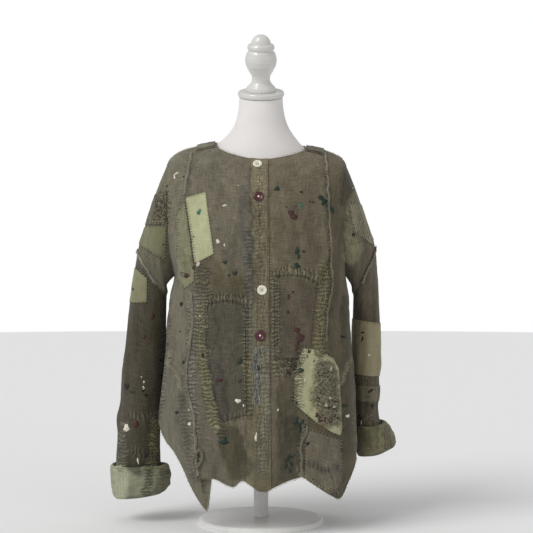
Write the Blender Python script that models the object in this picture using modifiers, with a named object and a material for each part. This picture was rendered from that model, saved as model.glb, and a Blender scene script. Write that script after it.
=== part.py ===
"""Patched jacket with turned-up cuffs, standing on a white limbless dress form.

Metres in the scene, millimetres in the tables below. +Z is up, the front faces -Y and +X is the wearer's left.
The origin is the middle of the base plate's underside.

The cloth is one smooth surface, the body, with a tube for each sleeve. A point of the body is given by an angle
round it, 0 at the front and a right angle at each side, and a level, which is its height at the front centre.
Each sewn piece is a grid on that surface, and what lies on a piece is made from the same facets, moved out.
"""

import math

import bmesh
import bpy
from mathutils import Matrix, Vector
from mathutils.bvhtree import BVHTree
from mathutils.kdtree import KDTree

MM = 0.001
RIGHT_ANGLE = math.pi / 2

# Thickness of the cloth pieces, and the gaps that part them. Corners closer than WELD are one corner
CLOTH = 1.5
PATCH = 1.2
SEAM_STRIP = 1.8
BAND = 1.6
CUFF = 2.6
TAB = 4.0
SEAM_GAP = 0.36
SLEEVE_GAP = 0.74
LAY_GAP = 0.45
STRIP_GAP = 0.6
BUTTON_GAP = 0.35
WELD = 0.01

# Rows of facets from the top of a piece to its hem, and how many of them pass the armhole. The wearer's right side
# hangs lower than the pieces beside it, by the last of its rows
ROWS = 20
LONG_ROWS = 22
ARMHOLE_ROWS = 8
SLEEVE_COLUMNS = 2 * ARMHOLE_ROWS
# Columns of each piece. Some of a front's and the back's columns start on the shoulder ridge, not at the neckline
FRONT_COLUMNS = 6
SIDE_COLUMNS = 4
BACK_COLUMNS = 11
RIDGE_COLUMNS = 2
NECK_SHARE = 1 - RIDGE_COLUMNS / FRONT_COLUMNS

# Levels: neckline at the front centre, top of the armholes, armpits
NECK = 794.0
SHOULDER = 735.0
ARMPIT = 546.0
SHOULDER_TOP = {-1: 790.0, 1: 788.0}

# The body's section at each level. Side -1 is the wearer's right and 1 the left
HALF_WIDTH = {
    -1: [(50, 203), (100, 206), (170, 214), (226, 219), (270, 217), (380, 207), (424, 205), (500, 198),
         (546, 188), (735, 205), (746, 195), (760, 172), (778, 134), (794, 99)],
    1: [(60, 206), (143, 209), (270, 207), (340, 203), (380, 198), (446, 194), (500, 191),
        (546, 184), (735, 186), (746, 176), (760, 155), (778, 128), (794, 98)],
}
RIDGE_HEIGHT = {
    -1: [(735, 790), (746, 804), (760, 819), (778, 829), (794, 836)],
    1: [(735, 788), (746, 803), (760, 814), (778, 822), (794, 827)],
}
FRONT_DEPTH = [(50, 168), (100, 166), (200, 161), (300, 154), (400, 146), (480, 141), (546, 143), (600, 142),
               (650, 137), (700, 127), (735, 115), (760, 100), (778, 87), (794, 74)]
BACK_DEPTH = [(50, 160), (100, 157), (200, 151), (300, 142), (400, 130), (480, 122), (546, 121), (600, 120),
              (650, 118), (700, 112), (735, 103), (760, 92), (778, 81), (794, 69)]
BACK_LIFT = [(546, 0), (650, 14), (735, 38), (794, 50)]
SECTION_POWER = 0.9
LIFT_POWER = 1.3
TOP_FADE = 8

# The armhole: how far it bulges to the front and back, and its sideways place from armpit to top
ARMHOLE_BULGE = {True: 74.0, False: 76.0}
ARMHOLE_X = {
    -1: [(0, 188), (0.2, 196), (0.6, 198), (1, 205)],
    1: [(0, 184), (0.22, 178), (0.62, 170), (1, 186)],
}

# Seams that run from the shoulder ridge to the hem: sideways place at each level
FRONT_SEAM = {
    -1: [(51, 111), (141, 130), (221, 135), (258, 137), (296, 149), (338, 154), (396, 147), (495, 143),
         (600, 152), (690, 160), (750, 154), (772, 150)],
    1: [(120, 86), (190, 84), (220, 95), (318, 118), (382, 133), (415, 136), (470, 141), (536, 148),
        (599, 146), (690, 142), (750, 140), (770, 139)],
}
BACK_SEAM = {
    -1: [(75, 115), (250, 112), (400, 110), (600, 118), (700, 132), (772, 150)],
    1: [(75, 105), (250, 106), (400, 108), (600, 116), (700, 128), (770, 139)],
}

# The centre front, where the two fronts meet under the button band, and the band's outline in the front view
FRONT_EDGE = -5.0
BAND_OUTLINE = [(-21, 815), (15, 815), (22, 60), (-30, 60)]

# The hem of each piece: height at sideways places, from one seam to the next
HEM = {
    "right_front": [(-111, 122), (-88, 117), (-75, 110), (-56, 105), (-39, 118), (-24, 112), (-5, 98)],
    "left_front": [(-5, 98), (12, 97), (35, 107), (60, 117), (86, 124)],
    "right_side_front": [(-222, 226), (-206, 179), (-174, 146), (-150, 98), (-126, 62), (-111, 51)],
    "left_side_front": [(86, 124), (103, 112), (126, 95), (148, 79), (172, 67), (191, 100), (210, 143)],
    "right_side_back": [(-222, 226), (-200, 172), (-170, 122), (-140, 84), (-115, 74)],
    "left_side_back": [(105, 112), (135, 80), (165, 72), (190, 105), (210, 143)],
    "back": [(-115, 114), (-60, 98), (0, 86), (60, 98), (105, 112)],
}
HEM_SIDE = {-1: 226.0, 1: 143.0}
CENTRE_HEM = 98.0
# Where each long seam ends: the hem of the piece towards the centre, and the tip of the piece at the side
SEAM_HEM = {(-1, True): (122, 51), (1, True): (124, 124), (-1, False): (114, 74), (1, False): (112, 112)}

# Flutes of the skirt, which fade out upwards: where they start and where they are full, their height, and each
# wave's share, number round the body and phase
FLUTE_LEVEL = 470.0
FLUTE_FULL = 80.0
FLUTE_HEIGHT = 7.0
FLUTE_WAVES = [(0.7, 9, 0.6), (0.3, 5, 2.1)]
# The large creases of the front (True) and of the back: from and to (sideways, height), half-width and height of
# the ridge. They fade towards the side seams, over CREASE_FADE, and towards both ends
CREASE_FADE = 60.0
CREASE_END_FADE = 0.7
CREASES = {
    True: [
        ((-150, 760), (-168, 560), 13, 3.5),
        ((-120, 700), (-60, 610), 22, 3.0),
        ((-182, 560), (-120, 470), 16, 4.0),
        ((168, 560), (110, 470), 16, 4.0),
        ((95, 760), (40, 640), 22, 3.0),
        ((-100, 420), (-92, 180), 20, 4.0),
        ((60, 430), (48, 200), 20, 4.0),
    ],
    False: [
        ((-120, 760), (-70, 600), 24, 4.0),
        ((120, 760), (70, 600), 24, 4.0),
        ((-170, 560), (-90, 470), 18, 4.5),
        ((170, 560), (90, 470), 18, 4.5),
        ((0, 640), (10, 300), 24, 4.5),
    ],
}

# A sleeve's stations: outer edge (sideways, height), inner edge, middle of its depth, half its depth
SLEEVE = {
    -1: [
        ((236, 704), (208, 524), -2, 67),
        ((258, 645), (207, 508), 10, 61),
        ((271, 600), (210, 492), 22, 55),
        ((289, 486), (212, 425), 36, 50),
        ((301, 380), (213, 350), 42, 47),
        ((311, 275), (219, 262), 43, 45),
        ((319, 190), (226, 182), 40, 44),
        ((322, 50), (222, 62), 38, 44),
    ],
    1: [
        ((217, 704), (199, 524), 4, 66),
        ((239, 645), (203, 508), 20, 61),
        ((252, 606), (206, 494), 34, 57),
        ((262, 486), (206, 440), 60, 54),
        ((266, 380), (205, 360), 72, 52),
        ((264, 320), (205, 306), 75, 51),
        ((262, 250), (208, 240), 74, 50),
        ((276, 150), (219, 140), 70, 50),
    ],
}
UPPER_STATIONS = 3
UPPER_ROWS = 6
LOWER_ROWS = 12
# Folds of the sleeves. The cross ones pile up about PILE_PLACE, within PILE_REACH of it
SLEEVE_FOLD = 3.0
FOLD_START = 0.6
PILE_PLACE = 6.4
PILE_REACH = 1.6

# A cuff's rings from the fold up: stations above the sleeve's end, and how far it stands off the sleeve on its
# outer side, on the side towards the body, and at its front and back
CUFF_RINGS = {
    -1: [(0.0, 0.5, 0.5, 0.5), (0.13, 9, 17, 7), (0.30, 12, 20, 10), (0.48, 13, 14, 12)],
    1: [(0.0, 0.5, 0.5, 0.5), (0.18, 30, 2, 9), (0.38, 26, 2, 12), (0.60, 16, 2, 12)],
}

# Patches and applied pieces on the front: outline in the front view, as (sideways, height), and lift level
FRONT_PATCHES = {
    "patch_chest_light": [(-159, 710), (-117, 722), (-99, 591), (-134, 573), (-139, 571)],
    "patch_chest_olive": [(-178, 678), (-161, 699), (-142, 569), (-141, 533), (-161, 517), (-178, 538)],
    "pocket_right": [(-122, 430), (-119, 468), (-112, 483), (-97, 488), (-65, 491), (-45, 487), (-33.5, 478),
                     (-31, 256), (-82, 240), (-99, 304), (-111, 367)],
    "pocket_left": [(29, 542), (50, 545), (72, 545), (93, 542), (118, 530), (113, 472), (105, 398), (97, 372),
                    (30, 372)],
    "patch_light_front": [(90, 392), (117, 389), (152, 369), (164, 345), (171, 217), (166, 206), (146, 216),
                          (113, 240), (69, 277), (69, 327), (80, 373)],
    "patch_grey_hem": [(101, 222), (170, 196), (172, 112), (148, 86), (107, 109), (93, 120), (93, 190)],
}
# Sleeve patches: side, half of the sleeve, how far back they reach, and outline in the front view
SLEEVE_PATCHES = {
    "patch_sleeve_right_darned": (-1, "upper", 10, [(-250, 722), (-203, 722), (-203, 655), (-270, 655)]),
    "patch_sleeve_right_olive": (-1, "upper", 16, [(-272, 650), (-204, 650), (-206, 578), (-272, 616)]),
    "patch_sleeve_right_light": (-1, "lower", 30, [(-275, 560), (-248, 538), (-250, 486), (-300, 484), (-300, 566)]),
    "patch_sleeve_left_olive": (1, "upper", 12, [(190, 700), (232, 700), (256, 640), (242, 612), (200, 640)]),
    "patch_sleeve_left_light": (1, "lower", 66, [(196, 449), (270, 437), (275, 318), (196, 326)]),
    "patch_sleeve_left_speckled": (1, "lower", 70, [(203, 300), (275, 296), (275, 262), (203, 266)]),
}

# Raw seam strips: side, front or back, and the heights that they run between
STRIP_HALF_WIDTH = 3.5
SEAM_STRIPS = {
    "seam_right_upper": (-1, True, 815, 716),
    "seam_right_lower": (-1, True, 512, 70),
    "seam_left_upper": (1, True, 812, 402),
    "seam_left_lower": (1, True, 232, 128),
    "seam_right_back": (-1, False, 800, 85),
    "seam_left_back": (1, False, 800, 110),
}
# The ridge round each arm's slanting seam stops short of the side that the body is on
ARM_SEAM_REACH = 5 / SLEEVE_COLUMNS

# Buttons on the band: sideways place, height, diameter
BUTTON_PROFILE = [(0, 2.4), (0.52, 2.4), (0.66, 3.0), (0.86, 3.0), (1.0, 2.0), (0.94, 0.5), (0.8, 0), (0, 0)]
BUTTONS = {
    "button_1_white": (-7.3, 782.5, 20.0),
    "button_2_red": (-4.7, 711.0, 22.5),
    "button_3_white": (2.7, 514.7, 20.5),
    "button_4_red": (-1.3, 419.4, 23.0),
}

# The shoulder tabs: side, from and to sideways, reach to the front and back
TABS = {
    "shoulder_tab_right": (-1, 97, 142, 28),
    "shoulder_tab_left": (1, 96, 140, 34),
}

# The dress form: rings as (side height, front height, back height, half-width, front depth, back depth)
FORM_COLUMNS = 32
FORM_RINGS = [
    (936, 920.8, 951.2, 47.5, 46.8, 46.8),
    (912, 900, 923, 49, 49, 49),
    (886, 874, 898, 54, 52, 53),
    (865, 848, 880, 63, 56, 56),
    (846, 822, 862, 79, 61, 57),
    (833, 797, 832, 97, 67, 56),
    (825, 775, 812, 122, 82, 65),
    (809, 750, 792, 152, 98, 76),
    (785, 720, 758, 166, 111, 88),
    (750, 690, 718, 171, 120, 98),
    (690, 650, 670, 168, 129, 107),
    (620, 600, 610, 160, 132, 104),
    (550, 545, 548, 150, 118, 92),
    (480, 480, 480, 140, 100, 84),
    (420, 420, 420, 142, 98, 88),
    (350, 350, 350, 156, 106, 106),
    (290, 290, 290, 168, 114, 122),
    (240, 240, 240, 172, 116, 126),
    (216, 216, 216, 170, 114, 124),
    (204, 204, 204, 160, 104, 114),
    (200, 200, 200, 146, 92, 100),
]
# The form's left shoulder is lower, fading in out to DROP_SIDE, below DROP_TOP and above DROP_FOOT
FORM_LEFT_DROP = 10.0
DROP_SIDE = 90.0
DROP_TOP, DROP_TOP_FADE = 870.0, 40.0
DROP_FOOT, DROP_FOOT_FADE = 600.0, 150.0
# The torso starts TRIAL_DROP too low and is raised until the cloth above SHOULDER_BAND is FORM_SEAT off it
FORM_SEAT = 0.7
TRIAL_DROP = 30.0
SHOULDER_BAND = 675.0
NECK_TILT = math.radians(18)
CAP_PROFILE = [(0, 12), (48.5, 12), (50.5, 10), (51, 5), (50, 1.5), (47, 0), (0, 0)]
FINIAL_PROFILE = [(0, 124), (7, 123), (14, 119), (19.5, 112), (22, 103.5), (27, 102.5), (29.5, 98), (29.5, 93),
                  (27, 89), (31, 84), (34, 74), (34.5, 66), (32, 55), (26, 43), (20.5, 34), (19.5, 27), (21, 20),
                  (26, 14), (31, 9), (32.5, 4), (32.5, 0), (0, 0)]
POST_RADIUS = 16.0
BASE_PROFILE = [(0, 14), (128, 14), (134, 12.5), (137, 9), (138, 4), (137, 0), (0, 0)]
BASE_TOP = 14.0

# Colours
OLIVE = (0.155, 0.135, 0.092)
DARK_OLIVE = (0.085, 0.072, 0.048)
LIGHT_GREEN = (0.45, 0.45, 0.27)
SAGE = (0.31, 0.33, 0.22)
IVORY = (0.83, 0.80, 0.68)
BURGUNDY = (0.14, 0.008, 0.028)
WHITE_CLOTH = (0.78, 0.75, 0.74)
WHITE_LACQUER = (0.86, 0.86, 0.84)
PATCH_COLOURS = {"light": LIGHT_GREEN, "olive": DARK_OLIVE, "pocket": DARK_OLIVE}


def smooth_curve(points):
    """A smooth function through (input, output) points, level outside them."""
    slopes = []
    for i in range(len(points)):
        before = points[max(i - 1, 0)]
        after = points[min(i + 1, len(points) - 1)]
        slopes.append((after[1] - before[1]) / (after[0] - before[0]))

    def value(x):
        if x <= points[0][0]:
            return points[0][1]
        for i in range(1, len(points)):
            if x <= points[i][0]:
                break
        else:
            return points[-1][1]
        span = points[i][0] - points[i - 1][0]
        t = (x - points[i - 1][0]) / span
        rise = points[i][1] - points[i - 1][1]
        bend = (1 - t) * (slopes[i - 1] * span - rise) - t * (slopes[i] * span - rise)
        return points[i - 1][1] + t * rise + t * (1 - t) * bend

    return value


half_width = {side: smooth_curve(points) for side, points in HALF_WIDTH.items()}
ridge_height = {side: smooth_curve(points) for side, points in RIDGE_HEIGHT.items()}
depth_at = {True: smooth_curve(FRONT_DEPTH), False: smooth_curve(BACK_DEPTH)}
back_lift = smooth_curve(BACK_LIFT)
armhole_x = {side: smooth_curve(points) for side, points in ARMHOLE_X.items()}
seam_x = {
    (side, front): smooth_curve(table[side])
    for front, table in ((True, FRONT_SEAM), (False, BACK_SEAM))
    for side in (-1, 1)
}
hem_height = {name: smooth_curve(points) for name, points in HEM.items()}


def section(side, front, level):
    """The body's quarter section at a level: half-width, depth, edge angle and the edge's height."""
    depth = depth_at[front](level)
    if ARMPIT < level < SHOULDER:
        share = (level - ARMPIT) / (SHOULDER - ARMPIT)
        bulge = ARMHOLE_BULGE[front] * math.sqrt(1 - (2 * share - 1) ** 2)
        edge = math.acos((bulge / depth) ** (1 / SECTION_POWER))
        width = armhole_x[side](share) / math.sin(edge) ** SECTION_POWER
        return width, depth, edge, ARMPIT + (SHOULDER_TOP[side] - ARMPIT) * share
    edge_height = level if level <= ARMPIT else ridge_height[side](level)
    return half_width[side](level), depth, RIGHT_ANGLE, edge_height


def ridge(point, start, end, half_wide, height):
    """A soft ridge from start to end in the front view, fading at both ends."""
    start, end = Vector(start), Vector(end)
    along = end - start
    share = (point - start).dot(along) / along.length_squared
    away = (point - start - along * min(max(share, 0), 1)).length
    fade = max(0.0, 1 - (2 * share - 1) ** 2 * CREASE_END_FADE)
    return height * fade * math.exp(-((away / half_wide) ** 2))


def drape(x, y, z, angle, level, front):
    """How far the folds lift the cloth off its smooth section."""
    lift = 0.0
    if level < FLUTE_LEVEL:
        grow = ((FLUTE_LEVEL - level) / (FLUTE_LEVEL - FLUTE_FULL)) ** LIFT_POWER
        lift += FLUTE_HEIGHT * grow * sum(share * math.cos(n * angle + phase) for share, n, phase in FLUTE_WAVES)
    towards_side = min(1.0, abs(y) / CREASE_FADE)
    for start, end, half_wide, height in CREASES[front]:
        lift += towards_side * ridge(Vector((x, z)), start, end, half_wide, height)
    return lift


def body_point(angle, level):
    """A point of the body's outer surface, in millimetres."""
    angle = math.remainder(angle, 2 * math.pi)
    side = -1 if angle < 0 else 1
    front = abs(angle) <= RIGHT_ANGLE + 1e-9
    turn = max(abs(angle) if front else math.pi - abs(angle), 0.0)
    width, depth, edge, edge_height = section(side, front, level)
    centre_height = level if front else level + back_lift(level)
    z = centre_height + (edge_height - centre_height) * (turn / edge) ** LIFT_POWER
    x = side * width * math.sin(turn) ** SECTION_POWER
    y = (-1 if front else 1) * depth * max(math.cos(turn), 0) ** SECTION_POWER
    outward = Vector((x / width**2, y / depth**2, 0)).normalized()
    lift = drape(x, y, z, angle, level, front)
    return Vector((x, y, z)) + outward * lift


def angle_at(side, front, level, x):
    """The angle at which the body's section reaches a sideways place."""
    width = section(side, front, level)[0]
    turn = math.asin(min(1.0, x / width) ** (1 / SECTION_POWER))
    return side * (turn if front else math.pi - turn)


def ridge_level(side):
    """The level at which the shoulder ridge is as far out as the long seams."""
    low, high = SHOULDER, NECK
    goal = FRONT_SEAM[side][-1][1]
    for _ in range(40):
        middle = (low + high) / 2
        low, high = (middle, high) if half_width[side](middle) > goal else (low, middle)
    return low


def level_of_row(row, start, hem, tip=None):
    """The level of a row: gently to the armpit's row, as the armhole's rows go, evenly to the hem, then to the tip."""
    if row > ROWS:
        return hem + (tip - hem) * (row - ROWS) / (LONG_ROWS - ROWS)
    if row > ARMHOLE_ROWS:
        return ARMPIT + (hem - ARMPIT) * (row - ARMHOLE_ROWS) / (ROWS - ARMHOLE_ROWS)
    part = row / ARMHOLE_ROWS
    return start + (ARMPIT - start) * (0.5 * part + 0.25 * (1 - math.cos(math.pi * part)))


def seam_line(side, front):
    """A long seam: the angle and level at each row."""
    start = ridge_level(side)
    hem, tip = SEAM_HEM[side, front]

    def at(row):
        level = level_of_row(row, start, hem, tip)
        if row <= 0:
            return side * RIGHT_ANGLE, start
        return angle_at(side, front, level, seam_x[side, front](level)), level

    return at


def edge_line(side, front):
    """The armhole's edge and then the side seam, at each row."""
    last = LONG_ROWS if side < 0 else ROWS

    def at(row):
        if row > ARMHOLE_ROWS:
            return side * RIGHT_ANGLE, ARMPIT + (HEM_SIDE[side] - ARMPIT) * (row - ARMHOLE_ROWS) / (last - ARMHOLE_ROWS)
        level = ARMPIT + (SHOULDER - ARMPIT) * (1 + math.cos(math.pi * row / ARMHOLE_ROWS)) / 2
        turn = section(side, front, level)[2] if 0 < row < ARMHOLE_ROWS else RIGHT_ANGLE
        return side * (turn if front else math.pi - turn), level

    return at


def centre_line(row):
    """The line where the two fronts meet, at each row."""
    if row > ARMHOLE_ROWS:
        level = level_of_row(row, NECK, CENTRE_HEM)
    else:
        level = NECK + (ARMPIT - NECK) * row / ARMHOLE_ROWS
    return angle_at(-1, True, level, -FRONT_EDGE), level


def hem_line(name, left, right):
    """The hem between two seams, given by their (angle, level) at the hem."""
    height = hem_height[name]

    def at(share):
        angle = left[0] + (right[0] - left[0]) * share
        return angle, height(body_point(angle, (left[1] + right[1]) / 2).x)

    return at


def neck_line(side):
    """The neckline from the front centre to the neck's corner, then the shoulder ridge out to the long seam."""
    near_centre, seam_level = centre_line(0)[0], ridge_level(side)

    def at(share):
        if share <= NECK_SHARE:
            return near_centre + (side * RIGHT_ANGLE - near_centre) * share / NECK_SHARE, NECK
        part = (share - NECK_SHARE) / (1 - NECK_SHARE)
        return side * RIGHT_ANGLE, NECK + (seam_level - NECK) * part

    return at


def back_neck_line(share):
    """The whole top of the back: ridge, neckline and ridge."""
    corner = RIDGE_COLUMNS / BACK_COLUMNS
    side = -1 if share < 0.5 else 1
    inset = min(share, 1 - share)
    if inset < corner:
        start = ridge_level(side)
        level = start + (NECK - start) * inset / corner
    else:
        level = NECK
    part = min(max((share - corner) / (1 - 2 * corner), 0), 1)
    return -RIGHT_ANGLE - math.pi * part, level


def shoulder_line(side):
    """The shoulder ridge from the long seam out to the armhole."""
    start = ridge_level(side)

    def at(share):
        return side * RIGHT_ANGLE, start + (SHOULDER - start) * share

    return at


def mix(a, b, share):
    return a[0] * (1 - share) + b[0] * share, a[1] * (1 - share) + b[1] * share


def stretched_over(top, bottom, start, end, rows):
    """A grid's point inside four boundary lines. u runs from start to end, w from top to bottom.

    The bend of the top line is lost within a few rows, and that of the hem spreads over them all.
    """

    def at(u, w):
        across = mix(start(w * rows), end(w * rows), u)
        high, low = top(u), bottom(u)
        high_chord, low_chord = mix(top(0), top(1), u), mix(bottom(0), bottom(1), u)
        high_share, low_share = (1 - w) ** TOP_FADE, w
        return tuple(
            across[i] + (high[i] - high_chord[i]) * high_share + (low[i] - low_chord[i]) * low_share
            for i in (0, 1)
        )

    return at


# Each grid's number in the cloth's "piece" layer, and its placing function
PIECES = {}
PLACES = {}


def add_grid(cloth, name, columns, rows, place):
    """Adds a grid to the cloth whose points are placed by a function of (across, down), both 0 to 1."""
    pieces = cloth.faces.layers.int["piece"]
    made = bmesh.ops.create_grid(cloth, x_segments=columns, y_segments=rows, size=0.5)["verts"]
    number = PIECES.setdefault(name, len(PIECES) + 1)
    PLACES[name] = place
    for vertex in made:
        across = round((vertex.co.x + 0.5) * columns) / columns
        down = round((0.5 - vertex.co.y) * rows) / rows
        vertex.co = Vector(place(across, down))
    for face in {face for vertex in made for face in vertex.link_faces}:
        face[pieces] = number


def add_body(cloth):
    """The two fronts, the four sides and the back."""
    for side, name in ((-1, "right"), (1, "left")):
        seam = seam_line(side, True)
        patch = stretched_over(
            neck_line(side), hem_line(name + "_front", centre_line(ROWS), seam(ROWS)), centre_line, seam, ROWS
        )
        add_grid(cloth, name + "_front", FRONT_COLUMNS, ROWS, lambda u, w, patch=patch: body_point(*patch(u, w)))
        rows = LONG_ROWS if side < 0 else ROWS
        for front, where in ((True, "_side_front"), (False, "_side_back")):
            seam, edge = seam_line(side, front), edge_line(side, front)
            patch = stretched_over(
                shoulder_line(side), hem_line(name + where, seam(rows), edge(rows)), seam, edge, rows
            )
            add_grid(cloth, name + where, SIDE_COLUMNS, rows, lambda u, w, patch=patch: body_point(*patch(u, w)))
    right, left_seam = seam_line(-1, False), seam_line(1, False)

    def left(row):
        angle, level = left_seam(row)
        return angle - 2 * math.pi, level

    patch = stretched_over(back_neck_line, hem_line("back", right(ROWS), left(ROWS)), right, left, ROWS)
    add_grid(cloth, "back", BACK_COLUMNS, ROWS, lambda u, w: body_point(*patch(u, w)))


def armhole_ring(side, turn):
    """A point of the armhole, from its top (0) by the front to the armpit (half) and up the back."""
    front = turn <= 0.5
    share = (turn if front else 1 - turn) * 2
    return body_point(*edge_line(side, front)(share * ARMHOLE_ROWS))


def station_ring(side, station, turn, grow=0.0):
    """A point of a sleeve's section, grown outwards by some millimetres."""
    outer, inner, middle_y, depth = station
    outer, inner = Vector(outer), Vector(inner)
    middle, half = (outer + inner) / 2, (outer - inner) / 2
    half = half * (1 + grow / half.length)
    around = 2 * math.pi * turn
    flat = middle + half * math.cos(around)
    return Vector((side * flat.x, middle_y - (depth + grow) * math.sin(around), flat.y))


def sleeve_point(side, turn, along, grow=0.0):
    """A point of a sleeve: along runs from 0 at the armhole, by 1 for each station."""
    stations = SLEEVE[side]
    rings = [armhole_ring(side, turn)] + [station_ring(side, station, turn, grow) for station in stations]
    last = len(rings) - 1
    i = min(int(max(along, 0)), last - 1)
    t = along - i
    before = rings[i] - (rings[i + 1] - rings[i]) if i == 0 else rings[i - 1]
    after = rings[i + 1] + (rings[i + 1] - rings[i]) if i + 2 > last else rings[i + 2]
    start, end = rings[i], rings[i + 1]
    leave, reach = (end - before) / 2, (after - start) / 2
    point = (
        start * (2 * t**3 - 3 * t**2 + 1)
        + leave * (t**3 - 2 * t**2 + t)
        + end * (3 * t**2 - 2 * t**3)
        + reach * (t**3 - t**2)
    )
    # Folds: long soft ones, and cross ones where the cloth piles up above the cuff
    around = 2 * math.pi * turn
    swell = min(1.0, max(0.0, along - FOLD_START)) * min(1.0, max(0.0, last - along) * 2)
    pile = max(0.0, 1 - abs(along - PILE_PLACE) / PILE_REACH)
    fold = 0.6 * math.cos(3 * around + 1.1 * along) + 0.8 * pile * math.cos(5.5 * along + 1.4 * math.cos(around))
    inward_side = 0.5 + 0.5 * math.cos(around)
    outward = Vector((side * math.cos(around), -math.sin(around), 0)).normalized()
    return point + outward * SLEEVE_FOLD * swell * inward_side * fold


def add_sleeves(cloth):
    for side, name in ((-1, "right"), (1, "left")):
        last = len(SLEEVE[side])
        add_grid(
            cloth, name + "_upper_sleeve", SLEEVE_COLUMNS, UPPER_ROWS,
            lambda u, w, side=side: sleeve_point(side, u % 1, w * UPPER_STATIONS),
        )
        add_grid(
            cloth, name + "_lower_sleeve", SLEEVE_COLUMNS, LOWER_ROWS,
            lambda u, w, side=side, last=last: sleeve_point(
                side, u % 1, UPPER_STATIONS + w * (last - UPPER_STATIONS)
            ),
        )


def sewn_surface():
    """The whole outer surface of the cloth, with each face marked with its piece and each point's outward."""
    cloth = bmesh.new()
    cloth.faces.layers.int.new("piece")
    add_body(cloth)
    add_sleeves(cloth)
    bmesh.ops.remove_doubles(cloth, verts=cloth.verts, dist=WELD)
    bmesh.ops.triangulate(cloth, faces=cloth.faces)
    bmesh.ops.recalc_face_normals(cloth, faces=cloth.faces)
    foremost = min(cloth.faces, key=lambda face: face.calc_center_median().y)
    if foremost.normal.y > 0:
        bmesh.ops.reverse_faces(cloth, faces=cloth.faces)
    cloth.normal_update()
    outward = cloth.verts.layers.float_vector.new("outward")
    for vertex in cloth.verts:
        vertex[outward] = vertex.normal
    return cloth


def draw_in(piece, distance):
    """Moves the piece's outline inwards along the cloth, which opens the seam to its neighbours."""
    inward = {}
    for edge in piece.edges:
        if not edge.is_boundary:
            continue
        face = edge.link_faces[0]
        along = (edge.verts[1].co - edge.verts[0].co).normalized()
        across = face.normal.cross(along).normalized()
        middle = (edge.verts[0].co + edge.verts[1].co) / 2
        if across.dot(face.calc_center_median() - middle) < 0:
            across.negate()
        for vertex in edge.verts:
            inward.setdefault(vertex, []).append(across)
    for vertex, ways in inward.items():
        total = sum(ways, Vector())
        spread = 1 + (ways[0].dot(ways[1]) if len(ways) == 2 else 1)
        vertex.co += total / max(spread, 0.5) * distance


def thicken(piece, low, high):
    """Makes a closed wall of an open surface, from low to high along each point's outward."""
    outward = piece.verts.layers.float_vector["outward"]
    made = bmesh.ops.extrude_face_region(piece, geom=piece.faces[:], use_keep_orig=True)
    raised = {item for item in made["geom"] if isinstance(item, bmesh.types.BMVert)}
    for vertex in piece.verts:
        vertex.co += vertex[outward].normalized() * (high if vertex in raised else low)
    bmesh.ops.recalc_face_normals(piece, faces=piece.faces)


def drop_slivers(piece):
    """Keeps only the largest run of faces that share edges."""
    left = set(piece.faces)
    largest = []
    while left:
        run = [left.pop()]
        for face in run:
            beside = {other for edge in face.edges for other in edge.link_faces} & left
            left -= beside
            run.extend(sorted(beside, key=lambda other: other.index))
        largest = max(largest, run, key=len)
    rest = set(piece.faces) - set(largest)
    bmesh.ops.delete(piece, geom=list(rest), context="FACES")


def cut_by(piece, planes):
    """Cuts away what lies outside each plane, given by a point of it and its outside."""
    for place, outside in planes:
        bmesh.ops.bisect_plane(
            piece, geom=piece.verts[:] + piece.edges[:] + piece.faces[:], dist=2 * WELD,
            plane_co=place, plane_no=outside, clear_outer=True,
        )
    drop_slivers(piece)


def cut_to(piece, outline):
    """Keeps what lies inside a convex outline of the front view, whose corners go round it either way."""
    sides = list(zip(outline, outline[1:] + outline[:1]))
    turn = 1 if sum(a[0] * b[1] - b[0] * a[1] for a, b in sides) > 0 else -1
    cut_by(piece, [
        ((start[0], 0, start[1]), (turn * (end[1] - start[1]), 0, turn * (start[0] - end[0])))
        for start, end in sides
    ])


def material(name, colour, roughness, metallic=0.0):
    made = bpy.data.materials.new(name)
    made.use_nodes = True
    surface = made.node_tree.nodes["Principled BSDF"]
    surface.inputs["Base Color"].default_value = (*colour, 1)
    surface.inputs["Roughness"].default_value = roughness
    surface.inputs["Metallic"].default_value = metallic
    return made


def add_object(name, piece, finish, scale=MM):
    """Writes a bmesh in millimetres to a smooth-shaded object."""
    bmesh.ops.scale(piece, vec=(scale,) * 3, verts=piece.verts)
    mesh = bpy.data.meshes.new(name)
    piece.to_mesh(mesh)
    mesh.shade_smooth()
    mesh.set_sharp_from_angle(angle=math.radians(50))
    mesh.materials.append(finish)
    made = bpy.data.objects.new(name, mesh)
    PARTS.objects.link(made)
    return made


def faces_of(cloth, names):
    """A copy of the cloth with only the named pieces."""
    piece = cloth.copy()
    layer = piece.faces.layers.int["piece"]
    numbers = {PIECES[name] for name in names}
    unwanted = [face for face in piece.faces if face[layer] not in numbers]
    bmesh.ops.delete(piece, geom=unwanted, context="FACES")
    return piece


BODY_FRONT = ["right_front", "left_front", "right_side_front", "left_side_front"]
CLOTH_PIECES = BODY_FRONT + [
    "right_side_back", "left_side_back", "back",
    "right_upper_sleeve", "right_lower_sleeve", "left_upper_sleeve", "left_lower_sleeve",
]


def outward_near(cloth):
    """A lookup of the outward of the cloth's point at a place."""
    tree = KDTree(len(cloth.verts))
    layer = cloth.verts.layers.float_vector["outward"]
    ways = [vertex[layer].copy() for vertex in cloth.verts]
    for i, vertex in enumerate(cloth.verts):
        tree.insert(vertex.co, i)
    tree.balance()
    return lambda place: ways[tree.find(place)[1]]


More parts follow.
